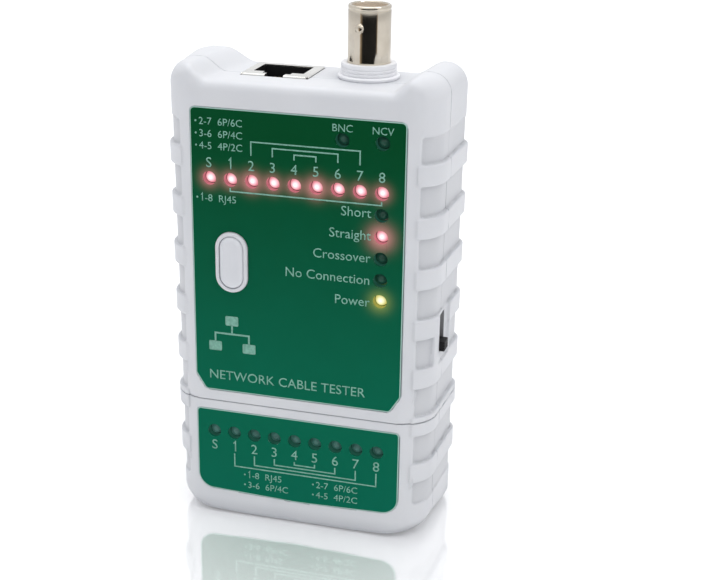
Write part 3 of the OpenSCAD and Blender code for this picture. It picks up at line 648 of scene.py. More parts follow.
def lit_lens(name, core, rim, strength):
    """Glowing lens: hot round its axis, turning to the lens colour at its edge."""
    material, tree, shader = start_material(name, Roughness=0.15)
    place = split(tree, texture_place(tree))
    pitch, half = LED_PITCH * MM, LED_PITCH * MM / 2
    offsets = []
    for key, start in (("X", LED_X8), ("Z", LED_Z)):
        cell = calc(tree, "FLOORED_MODULO", calc(tree, "ADD", place[key], half - start * MM), pitch)
        offsets.append(calc(tree, "ADD", cell, -half))
    across = node(tree, "CombineXYZ", {"X": offsets[0], "Y": offsets[1]}).outputs[0]
    share = calc(tree, "DIVIDE", vector(tree, "LENGTH", across)["Value"], LED_D / 2 * MM)
    level = calc(tree, "ADD", share, calc(tree, "MULTIPLY", noise(tree, 900, 1), 0.05))
    light = tone(tree, level, core, rim, 0.05, 0.85)
    feed(shader, {"Base Color": (*shaded(rim, 0.6), 1), "Emission Color": light, "Emission Strength": strength})
    return material


def glowing(name, colour, strength, scale=900, vary=0.2, **values):
    """Painted glow on the wall of a hole, as if lit by the lens in it, or with other values on an unlit lens."""
    material, tree, shader = start_material(name, **(values or {"Roughness": 0.5}))
    base = tone(tree, noise(tree, scale, 2), shaded(colour, 1 - vary), shaded(colour, 1 + vary))
    feed(shader, {"Base Color": base, "Emission Color": base, "Emission Strength": strength})
    return material


def dark_lens(name, colour, painted_glow):
    """Unlit tinted epoxy, with a faint painted glow."""
    return glowing(name, colour, painted_glow, 700, 0.3, Roughness=0.3, IOR=1.4, Transmission_Weight=0.25)


def socket_nickel():
    """Warm polished nickel with fine turning marks."""
    material, tree, shader = start_material("socket_nickel", Metallic=1.0)
    drift = tone(tree, noise(tree, 160, 3), (0.55, 0.49, 0.40), (0.70, 0.64, 0.54))
    rings = noise(tree, 700, 3, (0.4, 0.4, 14))
    feed(shader, {"Base Color": drift, "Roughness": spread(tree, rings, 0.07, 0.15)})
    bump(tree, shader, rings, 0.12, 0.00001)
    return material


def print_ink():
    """Slightly worn pale mint screen print."""
    material, tree, shader = start_material("print_ink", Roughness=0.45)
    worn = tone(tree, noise(tree, 1500, 3), (0.17, 0.41, 0.31), (0.25, 0.53, 0.42), 0.35, 0.6)
    feed(shader, {"Base Color": worn})
    return material


def solder_mask():
    """Circuit board with darker tracks under the green mask."""
    material, tree, shader = start_material("solder_mask", Roughness=0.3)
    colours = {"Color1": (0.012, 0.16, 0.06, 1), "Color2": (0.015, 0.19, 0.075, 1), "Mortar": (0.03, 0.27, 0.11, 1)}
    cells = node(tree, "TexBrick", {"Vector": texture_place(tree), "Scale": 180.0, "Mortar Size": 0.06, **colours})
    feed(shader, {"Base Color": cells.outputs["Color"]})
    bump(tree, shader, cells.outputs["Fac"], 0.2, 0.00003)
    return material


RED_CORE, RED_RIM = (1.0, 0.80, 0.84), (0.40, 0.13, 0.16)
AMBER_CORE, AMBER_RIM = (1.0, 0.98, 0.74), (0.40, 0.37, 0.11)
PINK, LIME = (1.0, 0.30, 0.34), (0.62, 0.60, 0.10)
WIRE_GLOW = [1.0, 0.95, 1.35, 1.0, 0.85, 1.45, 0.85, 0.85, 0.9]
# Place, reach, colour and strength of the light that spills over the label
halos = [(spot, 1.45 + 0.55 * k, PINK, 0.42 * k) for spot, k in zip(WIRE_SPOTS, WIRE_GLOW)]
halos += [(STATUS_SPOTS[1], 2.7, PINK, 0.6), (STATUS_SPOTS[4], 2.3, LIME, 0.36)]

PLASTIC = case_plastic("case_plastic", 1.0, 0.000012)
# Pocket floors: a coarser spark texture, and a darker tint that is painted shade
SHADED_POCKET_PLASTIC = case_plastic("pocket_plastic_painted_shade", 0.89, 0.00003)
GREEN_DARK, GREEN_LIGHT = (0.0006, 0.074, 0.022), (0.0008, 0.150, 0.082)
OVERLAY = overlay_green("overlay_green", label_box.low[2], label_box.high[2], GREEN_DARK, GREEN_LIGHT, halos)
REMOTE_OVERLAY = overlay_green("remote_overlay_green", remote_label_box.low[2] - 10, remote_label_box.high[2],
                               GREEN_LIGHT, (0.001, 0.165, 0.10), [])
RIM = surface("overlay_rim", (0.42, 0.66, 0.58), rough=0.3, vary=0.04)
INK = print_ink()
NICKEL = socket_nickel()
BORE_NICKEL = surface("bore_nickel", (0.80, 0.70, 0.58), rough=0.5, metal=0.3, vary=0.08)
LIT_RED = lit_lens("lit_red", RED_CORE, RED_RIM, 1.5)
LIT_AMBER = lit_lens("lit_amber", AMBER_CORE, AMBER_RIM, 1.3)
DARK_RED = dark_lens("dark_red", (0.045, 0.13, 0.11), 0.35)
DARK_CLEAR = dark_lens("dark_clear", (0.015, 0.075, 0.05), 0.2)
WHITE_GLOSS = surface("white_gloss", (0.80, 0.81, 0.84), rough=0.22, vary=0.02, grain=900)
SOCKET_WHITE = surface("socket_white", (0.97, 0.97, 0.99), rough=0.3, vary=0.03, grain=1600)
TIN = surface("tin_plate", (0.86, 0.85, 0.81), rough=0.2, metal=1.0, vary=0.08, grain=1800, stretch=(1, 1, 0.15))
STEEL = surface("screw_steel", (0.55, 0.55, 0.56), rough=0.3, metal=1.0, vary=0.1, grain=2600)
BLACK = surface("black_nylon", (0.014, 0.014, 0.015), rough=0.45, vary=0.2, grain=2400)
feed(BLACK.node_tree.nodes["Principled BSDF"], {"Specular IOR Level": 0.15})
JACKET = surface("battery_jacket", (0.05, 0.08, 0.16), rough=0.3, vary=0.1)
BAND = surface("battery_band", (0.74, 0.46, 0.10), rough=0.25, metal=0.8, vary=0.06)
# Hole walls: painted shade with a faint painted glow round unlit indicators, painted red and amber glow round lit ones
HOLE_SHADE = glowing("hole_painted_shade", (0.010, 0.055, 0.038), 0.9)
RED_WELL = glowing("red_well", (0.30, 0.10, 0.12), 1.0)
AMBER_WELL = glowing("amber_well", (0.20, 0.19, 0.04), 1.0)
SLOT_SHADE = surface("slot_shade", (0.36, 0.36, 0.37), rough=0.5, vary=0.1)
# Looks of a case shell's faces, and the places of some in the list; hole walls carry painted shade and painted glow,
# pocket floors painted shade
SHELL_LOOKS = [PLASTIC, HOLE_SHADE, RED_WELL, AMBER_WELL, SLOT_SHADE, SHADED_POCKET_PLASTIC]
DARK_WALL, RED_WALL, AMBER_WALL, SLOT_WALL, SHADED_POCKET_FLOOR = range(1, 6)

SLOT_LOOK = {
    "case_white": PLASTIC, "label_green": OVERLAY, "board_green": solder_mask(), "led_lit_red": LIT_RED,
    "led_status": LIT_RED, "led_dark": DARK_RED, "jack_metal": TIN, "black_plastic": BLACK, "nickel": NICKEL,
    "socket_white": SOCKET_WHITE, "button_white": WHITE_GLOSS, "battery_jacket": JACKET, "switch_metal": STEEL,
    "gold_contact": surface("gold_flash", (0.83, 0.62, 0.26), rough=0.2, metal=1.0, vary=0.08),
    "chip_black": surface("chip_epoxy", (0.03, 0.03, 0.033), rough=0.55, vary=0.25, grain=5200),
    "insulator_white": surface("insulator", (0.78, 0.76, 0.70), rough=0.5, vary=0.04),
    "copper": surface("copper_foil", (0.72, 0.36, 0.22), rough=0.3, metal=1.0, vary=0.12),
    "capacitor_tan": surface("ceramic_tan", (0.52, 0.36, 0.20), rough=0.5, vary=0.12),
    "lead_red": surface("lead_red", (0.45, 0.02, 0.02), rough=0.45, vary=0.1),
    "lead_black": surface("lead_black", (0.02, 0.02, 0.02), rough=0.45, vary=0.2),
}
for part in frame["record"]["subparts"]:
    mesh = frame["nodes"][part["node"]].data
    mesh.materials.clear()
    mesh.materials.append(SLOT_LOOK[part["material_slot"]])

# Case shells
FINE, COARSE = 0.38, 1.0
EDGE_REACH, MARGIN = 1.2, 0.9
rib_edges = [RIB_TOP_Z - i * RIB_PITCH - d for i in range(RIB_COUNT) for d in (0, RIB_H)]
level_marks = rib_edges + [HEAD_Z, FOOT_Z, 43.4, 58.0]


def shell_lines(front, main):
    """Grid lines of a shell, close together at its edges and steps."""
    y_ends, y_spans = (SEAM_Y, BACK_Y), [(BACK_Y - 7, BACK_Y + 1)]
    if front:
        y_ends, y_spans = (FRONT_Y, SEAM_Y), [(FRONT_Y - 1, FRONT_Y + 9)]
    y_spans.append((SEAM_Y - EDGE_REACH, SEAM_Y + EDGE_REACH))
    z_ends, z_spans = (0, REMOTE_Z), [(-1, 7), (REMOTE_Z - 1.2, REMOTE_Z + 1)]
    if main:
        z_ends, z_spans = (MAIN_Z, CREST_Z), [(MAIN_Z - 1, MAIN_Z + 1.2), (CREST_Z - 10, CREST_Z + 1)]
    z_spans += [(z - EDGE_REACH, z + EDGE_REACH) for z in level_marks]
    half = REAR_W / 2 + 1
    xs = graded(-half, half, [(-half, -18), (18, half)], FINE, COARSE)
    ys, zs = (
        graded(ends[0] - MARGIN, ends[1] + MARGIN, spans, FINE, COARSE)
        for ends, spans in ((y_ends, y_spans), (z_ends, z_spans))
    )
    return xs, ys, zs


def case_shell(name, front, main):
    """Case shell whose pocket floors take a coarser moulded texture and a darker tint, painted shade."""
    obj = make(name, [surface_net(shell_field(front, main), shell_lines(front, main))], SHELL_LOOKS)
    centres = np.empty(3 * len(obj.data.polygons), np.float32)
    obj.data.polygons.foreach_get("center", centres)
    x, y, z = centres.reshape(-1, 3).T / MM
    floor = flank_distance(x, y, z) + POCKET_DEPTH
    recessed = (np.abs(floor) < 0.25) & (rib_pockets(x, y, z) < 0.25)
    # Faces on the pocket floors take the darker look, painted shade
    obj.data.polygons.foreach_set("material_index", np.where(recessed, SHADED_POCKET_FLOOR, 0).astype(np.int32))
    return obj


def upper_outline(gap):
    low, high = label_box.low - gap, label_box.high + gap
    corners = [
        (low[0] + 2.5, low[2], 1.2), (high[0] - 2.5, low[2], 1.2), (high[0], low[2] + 4, 1.2),
        (high[0], high[2], 1.2), (low[0], high[2], 1.2), (low[0], low[2] + 4, 1.2),
    ]
    return rounded(corners)


def lower_outline(gap):
    low, high = remote_label_box.low - gap, remote_label_box.high + gap
    rise = 0.8
    corners = [
        (0, low[2], 60), (high[0], low[2] + rise, 4), (high[0], high[2], 1),
        (low[0], high[2], 1), (low[0], low[2] + rise, 4),
    ]
    return rounded(corners, 12)


def button_outline(grow):
    """Oval of two half circles joined by straight sides."""
    r = button_box.size[0] / 2 - BUTTON_FLANGE + grow
    half = (button_box.size[2] - button_box.size[0]) / 2
    turn = np.linspace(0, math.pi, 21)
    side = np.linspace(half, -half, 9)[1:-1]
    top = np.stack([r * np.cos(turn), half + r * np.sin(turn)], 1)
    left = np.stack([np.full(7, -r), side], 1)
    return np.concatenate([top, left, -top, -left]) + button_box.mid[[0, 2]]


def jack_hole(box):
    gap = 0.15
    w, t = box.size[:2] + 2 * gap
    return prism(rectangle(*box.mid[:2], w, t, 0.3, 3), [(0, box.high[2] - 4), (0, box.high[2] + 3)], "z")


def boss_bars(zs, r, start, end, segments=32):
    """Round bars on the screw axes of a case half."""
    return [bar(start, end, r, "y", (s * BOSS_X, z), segments) for z in zs for s in SIDES]


FRONT_BOSS, REAR_BOSS = (3.2, FRONT_Y + 1.2, SEAM_Y), (3.7, SEAM_Y, BACK_Y - 1)
SCREW_WELL = (2.9, SCREW_HEAD_Y, BACK_Y + 2, 40)


def led_bars(spots, start, end):
    return [bar(start, end, LED_HOLE / 2, "y", spot, 32) for spot in spots]


def led_holes(spots, look):
    """Indicator holes whose walls carry painted shade with a faint painted glow, or the painted glow of a lit lens."""
    return [(*hole, look) for hole in led_bars(spots, FRONT_Y - 1, FRONT_Y + WALL + 1)]


def recess(outline):
    return prism(outline, [(0, FRONT_Y - 1), (0, FRONT_Y + 0.4)])


slot_outline = rectangle(SEAM_Y, sum(SLOT_Z) / 2, SLOT_W, SLOT_Z[1] - SLOT_Z[0], 0.3, 3)
slot_cut = (*prism(slot_outline, [(0, 24), (0, 40)], "x"), SLOT_WALL)
socket_hole = bar(PLATEAU_Z - 5, PLATEAU_Z + 5, 6.5, "z", BNC_AXIS, 64)

# Front shell of the main unit
case_front = case_shell("case_front", True, True)
weld(case_front, boss_bars(BOSS_ZS, *FRONT_BOSS))
holes = led_holes(PORT_SPOTS + [STATUS_SPOTS[k] for k in (0, 2, 3)], DARK_WALL)
holes += led_holes(WIRE_SPOTS + [STATUS_SPOTS[1]], RED_WALL) + led_holes([STATUS_SPOTS[4]], AMBER_WALL)
cut(case_front, [recess(upper_outline(0.05))] + holes, looks=SHELL_LOOKS)
collar_y = FRONT_Y - COLLAR_OUT
weld(case_front, [slab(button_outline(COLLAR_W), collar_y, FRONT_Y + WALL - 0.3, 0.45)])
mouth = [(-0.35, -0.2), (-0.2, 0), (-0.06, 0.08), (0, 0.25), (0, COLLAR_OUT + WALL + 1)]
button_hole = prism(button_outline(0.15), [(d, collar_y + w) for d, w in mouth])
cut(case_front, [button_hole, jack_hole(jack_box), socket_hole, slot_cut], looks=SHELL_LOOKS)
fit(case_front, "main_unit", "case_white", "front_shell")

# Rear shell of the main unit, with the battery bay
BAY_WALL, DOOR_GAP = 0.8, 0.15
bay_low = battery_box.low - (0.4, 0.15, 0.3)
bay_high = np.array((battery_box.high[0] + 0.4, BACK_Y, door_box.high[2] - 1.35))
case_rear = case_shell("case_rear", False, True)
bay_outer = box_part(
    (bay_low[0] - BAY_WALL, bay_low[1] - BAY_WALL, MAIN_Z + WALL - 0.3),
    (bay_high[0] + BAY_WALL, BACK_Y - 1, bay_high[2] + BAY_WALL),
)


def dock_parts(low_z, high_z, gap, edge):
    """Two tongues of the main unit, or with a gap the remote unit's pockets for them."""
    w, y0, y1 = 2.5 + gap, FRONT_Y + 17 - gap, FRONT_Y + 20 + gap
    return [box_part((x - w, y0, low_z), (x + w, y1, high_z), 0.6, edge, "z") for x in (-15, 15)]


weld(case_rear, [bay_outer] + dock_parts(rear_box.low[2], MAIN_Z + 1, 0, 0.5) + boss_bars(BOSS_ZS, *REAR_BOSS))
door_low = door_box.low * (1, 0, 1) - DOOR_GAP + (0, BACK_Y - 1.5 + DOOR_GAP, 0)
door_room = box_part(door_low, door_box.high + (DOOR_GAP, 5, DOOR_GAP), 1.0)
cut(case_rear, [box_part(bay_low, bay_high + (0, 5, 0), 0.5), door_room] + boss_bars(BOSS_ZS, *SCREW_WELL))
cut(case_rear, [jack_hole(jack_box), socket_hole, slot_cut], looks=SHELL_LOOKS)
fit(case_rear, "main_unit", "case_white", "rear_shell")

# Shells of the remote unit
remote_front = case_shell("remote_case_front", True, False)
weld(remote_front, boss_bars(REMOTE_BOSS_ZS, *FRONT_BOSS))
cut(remote_front, [recess(lower_outline(0.05))] + led_holes(REMOTE_SPOTS, DARK_WALL), looks=SHELL_LOOKS)
cut(remote_front, [jack_hole(remote_jack_box)])
fit(remote_front, "remote_unit", "case_white", "remote_front_shell")

remote_rear = case_shell("remote_case_rear", False, False)
weld(remote_rear, boss_bars(REMOTE_BOSS_ZS, *REAR_BOSS))
cut(remote_rear, dock_parts(21, REMOTE_Z + 2, 0.2, 0) + boss_bars(REMOTE_BOSS_ZS, *SCREW_WELL))
cut(remote_rear, [jack_hole(remote_jack_box)])
fit(remote_rear, "remote_unit", "case_white", "remote_rear_shell")

# Label overlays
RIM_W = 0.22
LABEL_Y = label_box.low[1]


def overlay(name, outline, green, holes, body, node_name):
    """Overlay sheet: printed green field inside a pale mint rim."""
    looks = [RIM, green]
    obj = make(name, [slab(outline, LABEL_Y, label_box.high[1], 0.06, edges=(True, False))], looks)
    cut(obj, [(*hole, 1) for hole in holes], looks=looks)
    paint = make("tool", [(*prism(inset(outline, RIM_W), [(0, LABEL_Y - 0.012), (0, LABEL_Y + 0.1)]), 1)], looks)
    cut(paint, holes)
    combine(obj, paint, "UNION")
    shade(obj)
    fit(obj, body, "label_green", node_name)


through = (FRONT_Y - 2, FRONT_Y + 2)
upper_holes = led_bars(WIRE_SPOTS + STATUS_SPOTS + PORT_SPOTS, *through)
upper_holes.append(prism(button_outline(COLLAR_W + 0.05), [(0, y) for y in through]))
overlay("front_overlay", upper_outline(0), OVERLAY, upper_holes, "main_unit", "front_label")
overlay("remote_overlay", lower_outline(0), REMOTE_OVERLAY, led_bars(REMOTE_SPOTS, *through), "remote_unit",
        "remote_label")

# Print on the labels
INK_Y = (LABEL_Y - 0.03, LABEL_Y)
FONT_CAP = 0.73
LIST_H, SIGN_LINE = 1.75, 0.45


def words(text, x, z, height, align="LEFT"):
    """Flat solid letters whose baseline starts, is centred or ends at x."""
    curve = bpy.data.curves.new("words", "FONT")
    curve.body, curve.size, curve.align_x, curve.resolution_u = text, height / FONT_CAP, align, 3
    obj = add_object("words", curve)
    mesh = evaluated(obj)
    bpy.data.objects.remove(obj)
    flat = np.array([v.co for v in mesh.vertices]).reshape(-1, 3)
    faces = [list(p.vertices) for p in mesh.polygons]
    bpy.data.meshes.remove(mesh)
    return placed(flat[:, :2] + (x, z), INK_Y[0], "y"), faces


def flat_shape(outline):
    return placed(outline, INK_Y[0], "y"), [list(range(len(outline)))]


def stroke(points, width=0.32):
    """Flat line along points, with mitred corners."""
    p = np.array(points, float)
    step = unit(np.diff(p, axis=0))
    normal = np.stack([-step[:, 1], step[:, 0]], 1)
    joint = np.concatenate([normal[:1], normal[:-1] + normal[1:], normal[-1:]])
    joint = joint / (joint * joint).sum(1)[:, None] * np.concatenate([[1], np.full(len(p) - 2, 2), [1]])[:, None]
    return flat_shape(np.concatenate([p - joint * width / 2, (p + joint * width / 2)[::-1]]))


def one(x, z, height, width=0.30):
    """Figure one with a short flag, centred on x."""
    flag, stem = x - 0.10 * height, x + 0.09 * height
    return stroke([(flag, z + 0.78 * height), (stem, z + height), (stem, z)], width)


def numerals(z, height):
    """Names of the nine wires, each centred on its column."""
    return [one(x, z, height) if n == "1" else words(n, x, z, height, "CENTER") for n, x in zip("S12345678", COLUMNS)]


def bracket(a, tip_z, arm_z):
    """Line that joins wires a and 9 - a."""
    xa, xb = COLUMNS[a], COLUMNS[9 - a]
    return stroke([(xa, tip_z), (xa, arm_z), (xb, arm_z), (xb, tip_z)])


def entry(text, x, z):
    """List line with a bullet; its first figure may be a one."""
    dot = flat_shape(circle(x, z + 0.45 * LIST_H, 0.24, 10))
    if text[0] != "1":
        return [dot, words(text, x + 0.7, z, LIST_H)]
    return [dot, one(x + 1.1, z, LIST_H, 0.22), words(text[1:], x + 1.8, z, LIST_H)]


def network_sign(x, z):
    """Three plain boxes joined by lines, with its lower row centred on x."""
    reach, floor_z, fork_z = 4.2, z + 1.1, z + 3.3
    boxes = [flat_shape(rectangle(x + u, z + v, 3.2, 2.4, 0.3, 4)) for u, v in ((0, 6.6), (-reach, 0), (reach, 0))]
    fork = [(x - reach, floor_z), (x - reach, fork_z), (x + reach, fork_z), (x + reach, floor_z)]
    return boxes + [stroke([(x, z + 5.5), (x, z + 3.5)], SIGN_LINE), stroke(fork, SIGN_LINE)]


def sheet(name, parts, body):
    """Printed marks as one thin solid layer on a label."""
    obj = make(name, parts, [INK])
    thick = obj.modifiers.new("thick", "SOLIDIFY")
    thick.thickness, thick.offset = (INK_Y[1] - INK_Y[0]) * MM, 0
    fit(obj, body, "label_green")


marks = numerals(LED_Z + 2.6, 2.45)
for first, tip, arm in ((2, 6.1, 9.3), (3, 6.2, 8.2), (4, 5.9, 7.15), (1, -1.85, -2.65)):
    marks.append(bracket(first, LED_Z + tip, LED_Z + arm))
for text, up in zip(("2-7  6P/6C", "3-6  6P/4C", "4-5  4P/2C", "1-8  RJ45"), (12.45, 9.63, 6.81, -5.45)):
    marks += entry(text, label_box.low[0] + 1.4, LED_Z + up)
for text, spot in zip(("NCV", "BNC"), PORT_SPOTS):
    marks.append(words(text, spot[0], spot[1] + 1.95, 1.75, "CENTER"))
for row, text in enumerate(("Short", "Straight", "Crossover", "No Connection", "Power")):
    marks.append(words(text, LED_X8 - 2.3, LED_Z - 5.7 - 5.28 * row, 2.32, "RIGHT"))
marks.append(words("NETWORK CABLE TESTER", label_box.low[0] + 3.3, 36.0, 2.4))
sheet("front_print", marks + network_sign(label_box.low[0] + 9.3, 44.5), "main_unit")

marks = numerals(REMOTE_LED_Z - 4.9, 2.6)
for first, arm in ((1, 8.9), (2, 8.0), (3, 7.1), (4, 6.3)):
    marks.append(bracket(first, REMOTE_LED_Z - 5.5, REMOTE_LED_Z - arm))
for row, pair in enumerate((("1-8  RJ45", "2-7  6P/6C"), ("3-6  6P/4C", "4-5  4P/2C"))):
    for text, x in zip(pair, (-13.2, 4.2)):
        marks += entry(text, x, REMOTE_LED_Z - 11.6 - 2.7 * row)
sheet("remote_print", marks, "remote_unit")


# Indicators
def indicator(spot, look):
    """Lens with flange, domed tip and two legs."""
    r = LED_D / 2
    length = LED_BASE_Y - LED_TIP_Y
    dome = [(r * math.cos(a), -(length - r) - r * math.sin(a)) for a in np.linspace(0, math.pi / 2, 9)[:-1]]
    profile = [(0.9, 0.0), (r + 0.4, 0.0), (r + 0.4, -0.9), (r, -1.0)] + dome + [(0.02, -length)]
    lens = lathe(profile, (*spot, LED_BASE_Y), "y", 32)
    legs = [bar(LED_BASE_Y - 0.4, LED_BASE_Y + 1.9, 0.25, "y", (spot[0] + s * 1.27, spot[1]), 12) for s in SIDES]
    return [(*lens, look)] + [(*leg, 2) for leg in legs]


def indicators(name, spots, looks, materials, body, slot_name, node_name):
    parts = [piece for spot, look in zip(spots, looks) for piece in indicator(spot, look)]
    fit(make(name, parts, materials), body, slot_name, node_name)


WIRE_LOOKS, PORT_LOOKS = [LIT_RED, DARK_RED, TIN], [LIT_RED, DARK_CLEAR, TIN]
indicators("wire_indicators", WIRE_SPOTS, [0] * 9, WIRE_LOOKS, "main_unit", "led_lit_red", "wiremap_leds")
indicators("port_indicators", PORT_SPOTS, [1] * 2, PORT_LOOKS, "main_unit", "led_dark", "port_leds")
indicators("remote_indicators", REMOTE_SPOTS, [1] * 9, WIRE_LOOKS, "remote_unit", "led_dark", "remote_leds")
indicators("status_indicators", STATUS_SPOTS, [1, 0, 1, 1, 3], PORT_LOOKS + [LIT_AMBER], "main_unit", "led_status",
           "status_leds")

# Test button
STEM_Y = button_box.high[1] - 0.75
CAP_SPREAD = 0.11
half_w = button_box.size[0] / 2 - BUTTON_FLANGE + CAP_SPREAD
crown = []
for share in np.linspace(1, 0, 15) ** 1.5:
    rise = 0.75 * (1 - share) ** 5 + 0.14 * (1 - share)
    crown.append((half_w * share, button_box.low[1] + rise))
cap = prism(lambda grow: button_outline(grow + CAP_SPREAD), crown + [(0, STEM_Y)])
button = make("button_cap", [cap], [WHITE_GLOSS], 30)
weld(button, [slab(button_outline(BUTTON_FLANGE), STEM_Y - 0.01, button_box.high[1], 0.12)], 30)
fit(button, "test_button", "button_white", "test_button")

# Power switch knob
knob_z, knob_end = knob_box.mid[2], knob_box.high[0]
carriage = box_part(knob_box.low, (knob_box.low[0] + 4.3, *knob_box.high[1:]), 0.3, 0.2, "x")
stalk_outline = rectangle(SEAM_Y, knob_z - 0.25, 3.8, 2.4, 0.35, 5)
knob = make("switch_knob", [carriage], [BLACK], 30)
weld(knob, [slab(stalk_outline, knob_box.low[0] + 4, knob_end, 0.25, "x", (False, True))], 30)
grooves = []
for z in (knob_z - 0.87, knob_z - 0.25, knob_z + 0.37):
    wedge = np.array([(knob_end - 0.45, z), (knob_end + 0.5, z - 0.34), (knob_end + 0.5, z + 0.34)])
    grooves.append(prism(wedge, [(0, -20), (0, 20)]))
cut(knob, grooves, 30)
fit(knob, "power_switch", "black_plastic", "power_switch_slider")


# Modular jacks
def plug_cuts(box, depth):
    """Plug body, latch step and latch slot, cut down from the rim."""
    back, top = box.low[1] + 11.4, box.high[2]
    parts = []
    for w, reach, t in ((11.9, 8.0, 8.0), (6.6, 9.6, 2.0), (4.4, 12.4, 3.2)):
        outline = rectangle(box.mid[0], back - reach + t / 2, w, t, 0.15, 3)
        parts.append(prism(outline, [(0, top - depth), (0, top + 1)], "z"))
    return parts


def jack_shield(name, box, body, node_name):
    """Folded tin shield with rounded bends, side springs and a face plate round the plug opening."""
    gauge = 0.3
    (x, y), (w, t), low, top = box.mid[:2], box.size[:2], box.low[2], box.high[2]
    obj = make(name, [slab(rectangle(x, y, w, t, 0.5, 6), low, top, 0.22, "z")], [TIN], 30)
    inner = rectangle(x, y, w - 2 * gauge, t - 2 * gauge, 0.25, 4)
    cuts = [prism(inner, [(0, low + gauge), (0, top - gauge)], "z")] + plug_cuts(box, 2)
    for edge in (x - w / 2, x + w / 2):
        for v in (-4.1, -1.4, 1.1, 3.8):
            cuts.append(box_part((edge - 0.6, y + v, top - 9), (edge + 0.6, y + v + 0.3, top - 3), 0.1))
    for s in SIDES:
        cuts.append(bar(top - 0.6, top + 1, 0.34, "z", (x + s * (w / 2 - 0.36), box.low[1] + 0.36), 20))
    cut(obj, cuts, 30)
    fit(obj, body, "jack_metal", node_name)


def jack_insert(name, box, body, node_name):
    """Moulded insert with the plug room, contact comb and slightly rounded outer rims."""
    gap, wire_pitch = 0.35, 1.02
    (x, y), (w, t), low, top = box.mid[:2], box.size[:2] - 2 * gap, box.low, box.high[2]
    obj = make(name, [slab(rectangle(x, y, w, t, 0.25, 4), low[2] + gap, top - gap, 0.1, "z")], [BLACK], 30)
    cuts = plug_cuts(box, 15)
    for at in x + (np.arange(8) - 3.5) * wire_pitch:
        cuts.append(box_part((at - 0.3, low[1] + 11, top - 16.3), (at + 0.3, low[1] + 12.6, top - 2.6), 0.08, 0, "z"))
    cut(obj, cuts, 30)
    fit(obj, body, "black_plastic", node_name)


for prefix, box, unit_name in (("", jack_box, "main"), ("remote_", remote_jack_box, "remote")):
    jack_shield(prefix + "jack_shell", box, unit_name + "_unit", unit_name + "_jack_shield")
    jack_insert(prefix + "jack_insert", box, unit_name + "_unit", unit_name + "_jack_housing")

# Coaxial socket
NECK_TOP = neck_box.high[2] - PLATEAU_Z
NECK_BORE = BNC_R + 0.05
FOOT = -6.0
profile = [(NECK_BORE, FOOT), (6.15, FOOT), (6.15, 0.0), (6.9, 0.02), (7.0, 0.15), (7.0, 0.62), (6.85, 0.78)]
for i in range(3):
    h, r = 0.9 + 0.74 * i, 6.42 - 0.04 * i
    profile += [(6.2, h), (6.2, h + 0.16), (r, h + 0.26), (r, h + 0.6)]
profile += [(6.2, NECK_TOP - 0.12), (6.0, NECK_TOP), (BNC_R + 0.3, NECK_TOP), (NECK_BORE, NECK_TOP - 0.2),
            (NECK_BORE, FOOT)]
neck = make("socket_neck", [lathe(profile, (*BNC_AXIS, PLATEAU_Z), "z", 96)], [SOCKET_WHITE], 40)
block = box_part(neck_box.low, (*neck_box.high[:2], PLATEAU_Z - 3), 0.6, 0.4, "z")
neck_body = make("socket_body", [block], [SOCKET_WHITE])
cut(neck_body, [bar(neck_box.low[2] - 1, PLATEAU_Z - 5, 2.5, "z", BNC_AXIS),
                bar(PLATEAU_Z - 6, PLATEAU_Z, NECK_BORE, "z", BNC_AXIS, 64),
                bar(PLATEAU_Z - 6.05, PLATEAU_Z, 6.2, "z", BNC_AXIS, 64)])
fit(neck, "main_unit", "socket_white", "bnc_housing")
fit(neck_body, "main_unit", "socket_white")

LUG_DROP, LUG_TILT = 4.8, 12
top = barrel_box.high[2] - PLATEAU_Z
profile = [(BNC_BORE_R, FOOT), (BNC_R, FOOT)]
profile += [(BNC_R, top - LUG_DROP + h) for h in np.linspace(-1.2, 1.2, 9)]
rim = [(0, 1.3), (0.02, 1.2), (0.1, 1.05), (0.1, 0.95), (0, 0.8), (0, 0.32), (0.08, 0.12), (0.26, 0)]
profile += [(BNC_R - d, top - h) for d, h in rim]
profile += [(BNC_BORE_R + d, top - h) for d, h in ((0.2, 0), (0.05, 0.08), (0, 0.3))] + [(BNC_BORE_R, FOOT)]
barrel = make("socket_barrel", [lathe(profile, (*BNC_AXIS, PLATEAU_Z), "z", 160)], [NICKEL, BORE_NICKEL], 40)
for face in barrel.data.polygons:
    away = math.hypot(face.center.x / MM - BNC_AXIS[0], face.center.y / MM - BNC_AXIS[1])
    face.material_index = int(away < BNC_BORE_R + 0.02)
lug = [(0.02, 0.0), (0.95, 0.0), (0.95, 1.15), (0.88, 1.3), (0.6, 1.38), (0.02, 1.4)]
lug_points, lug_faces = lathe(lug, (0, 0, 0), "z", 32)
lying = lug_points @ np.array(Matrix.Rotation(math.radians(90), 3, "X")).T
lying = lying + (0, -4.15, barrel_box.high[2] - LUG_DROP)
for turn in (-LUG_TILT, 180 - LUG_TILT):
    points = lying @ np.array(Matrix.Rotation(math.radians(turn), 3, "Z")).T + (*BNC_AXIS, 0)
    weld(barrel, [(points, lug_faces)], 40)
fit(barrel, "main_unit", "nickel", "bnc_barrel")

# Battery door, battery and screws
door_top = door_box.high[2]
door_outline = rectangle(*door_box.mid[[0, 2]], *door_box.size[[0, 2]], 0.9)
door = make("battery_door", [slab(door_outline, BACK_Y - 1.5, BACK_Y, 0.2, edges=(False, True))], [PLASTIC])
weld(door, [box_part((x - 3, BACK_Y - 2.4, door_top - 3.55), (x + 3, BACK_Y - 1.3, door_top - 1.6), 0.3)
            for x in (-9, 9)])
cut(door, [box_part((-6, BACK_Y - 0.5, z), (6, BACK_Y + 1, z + 1), 0.45) for z in door_top - 11.5 + 2 * np.arange(4)])
fit(door, "battery_cover", "case_white", "battery_cover")

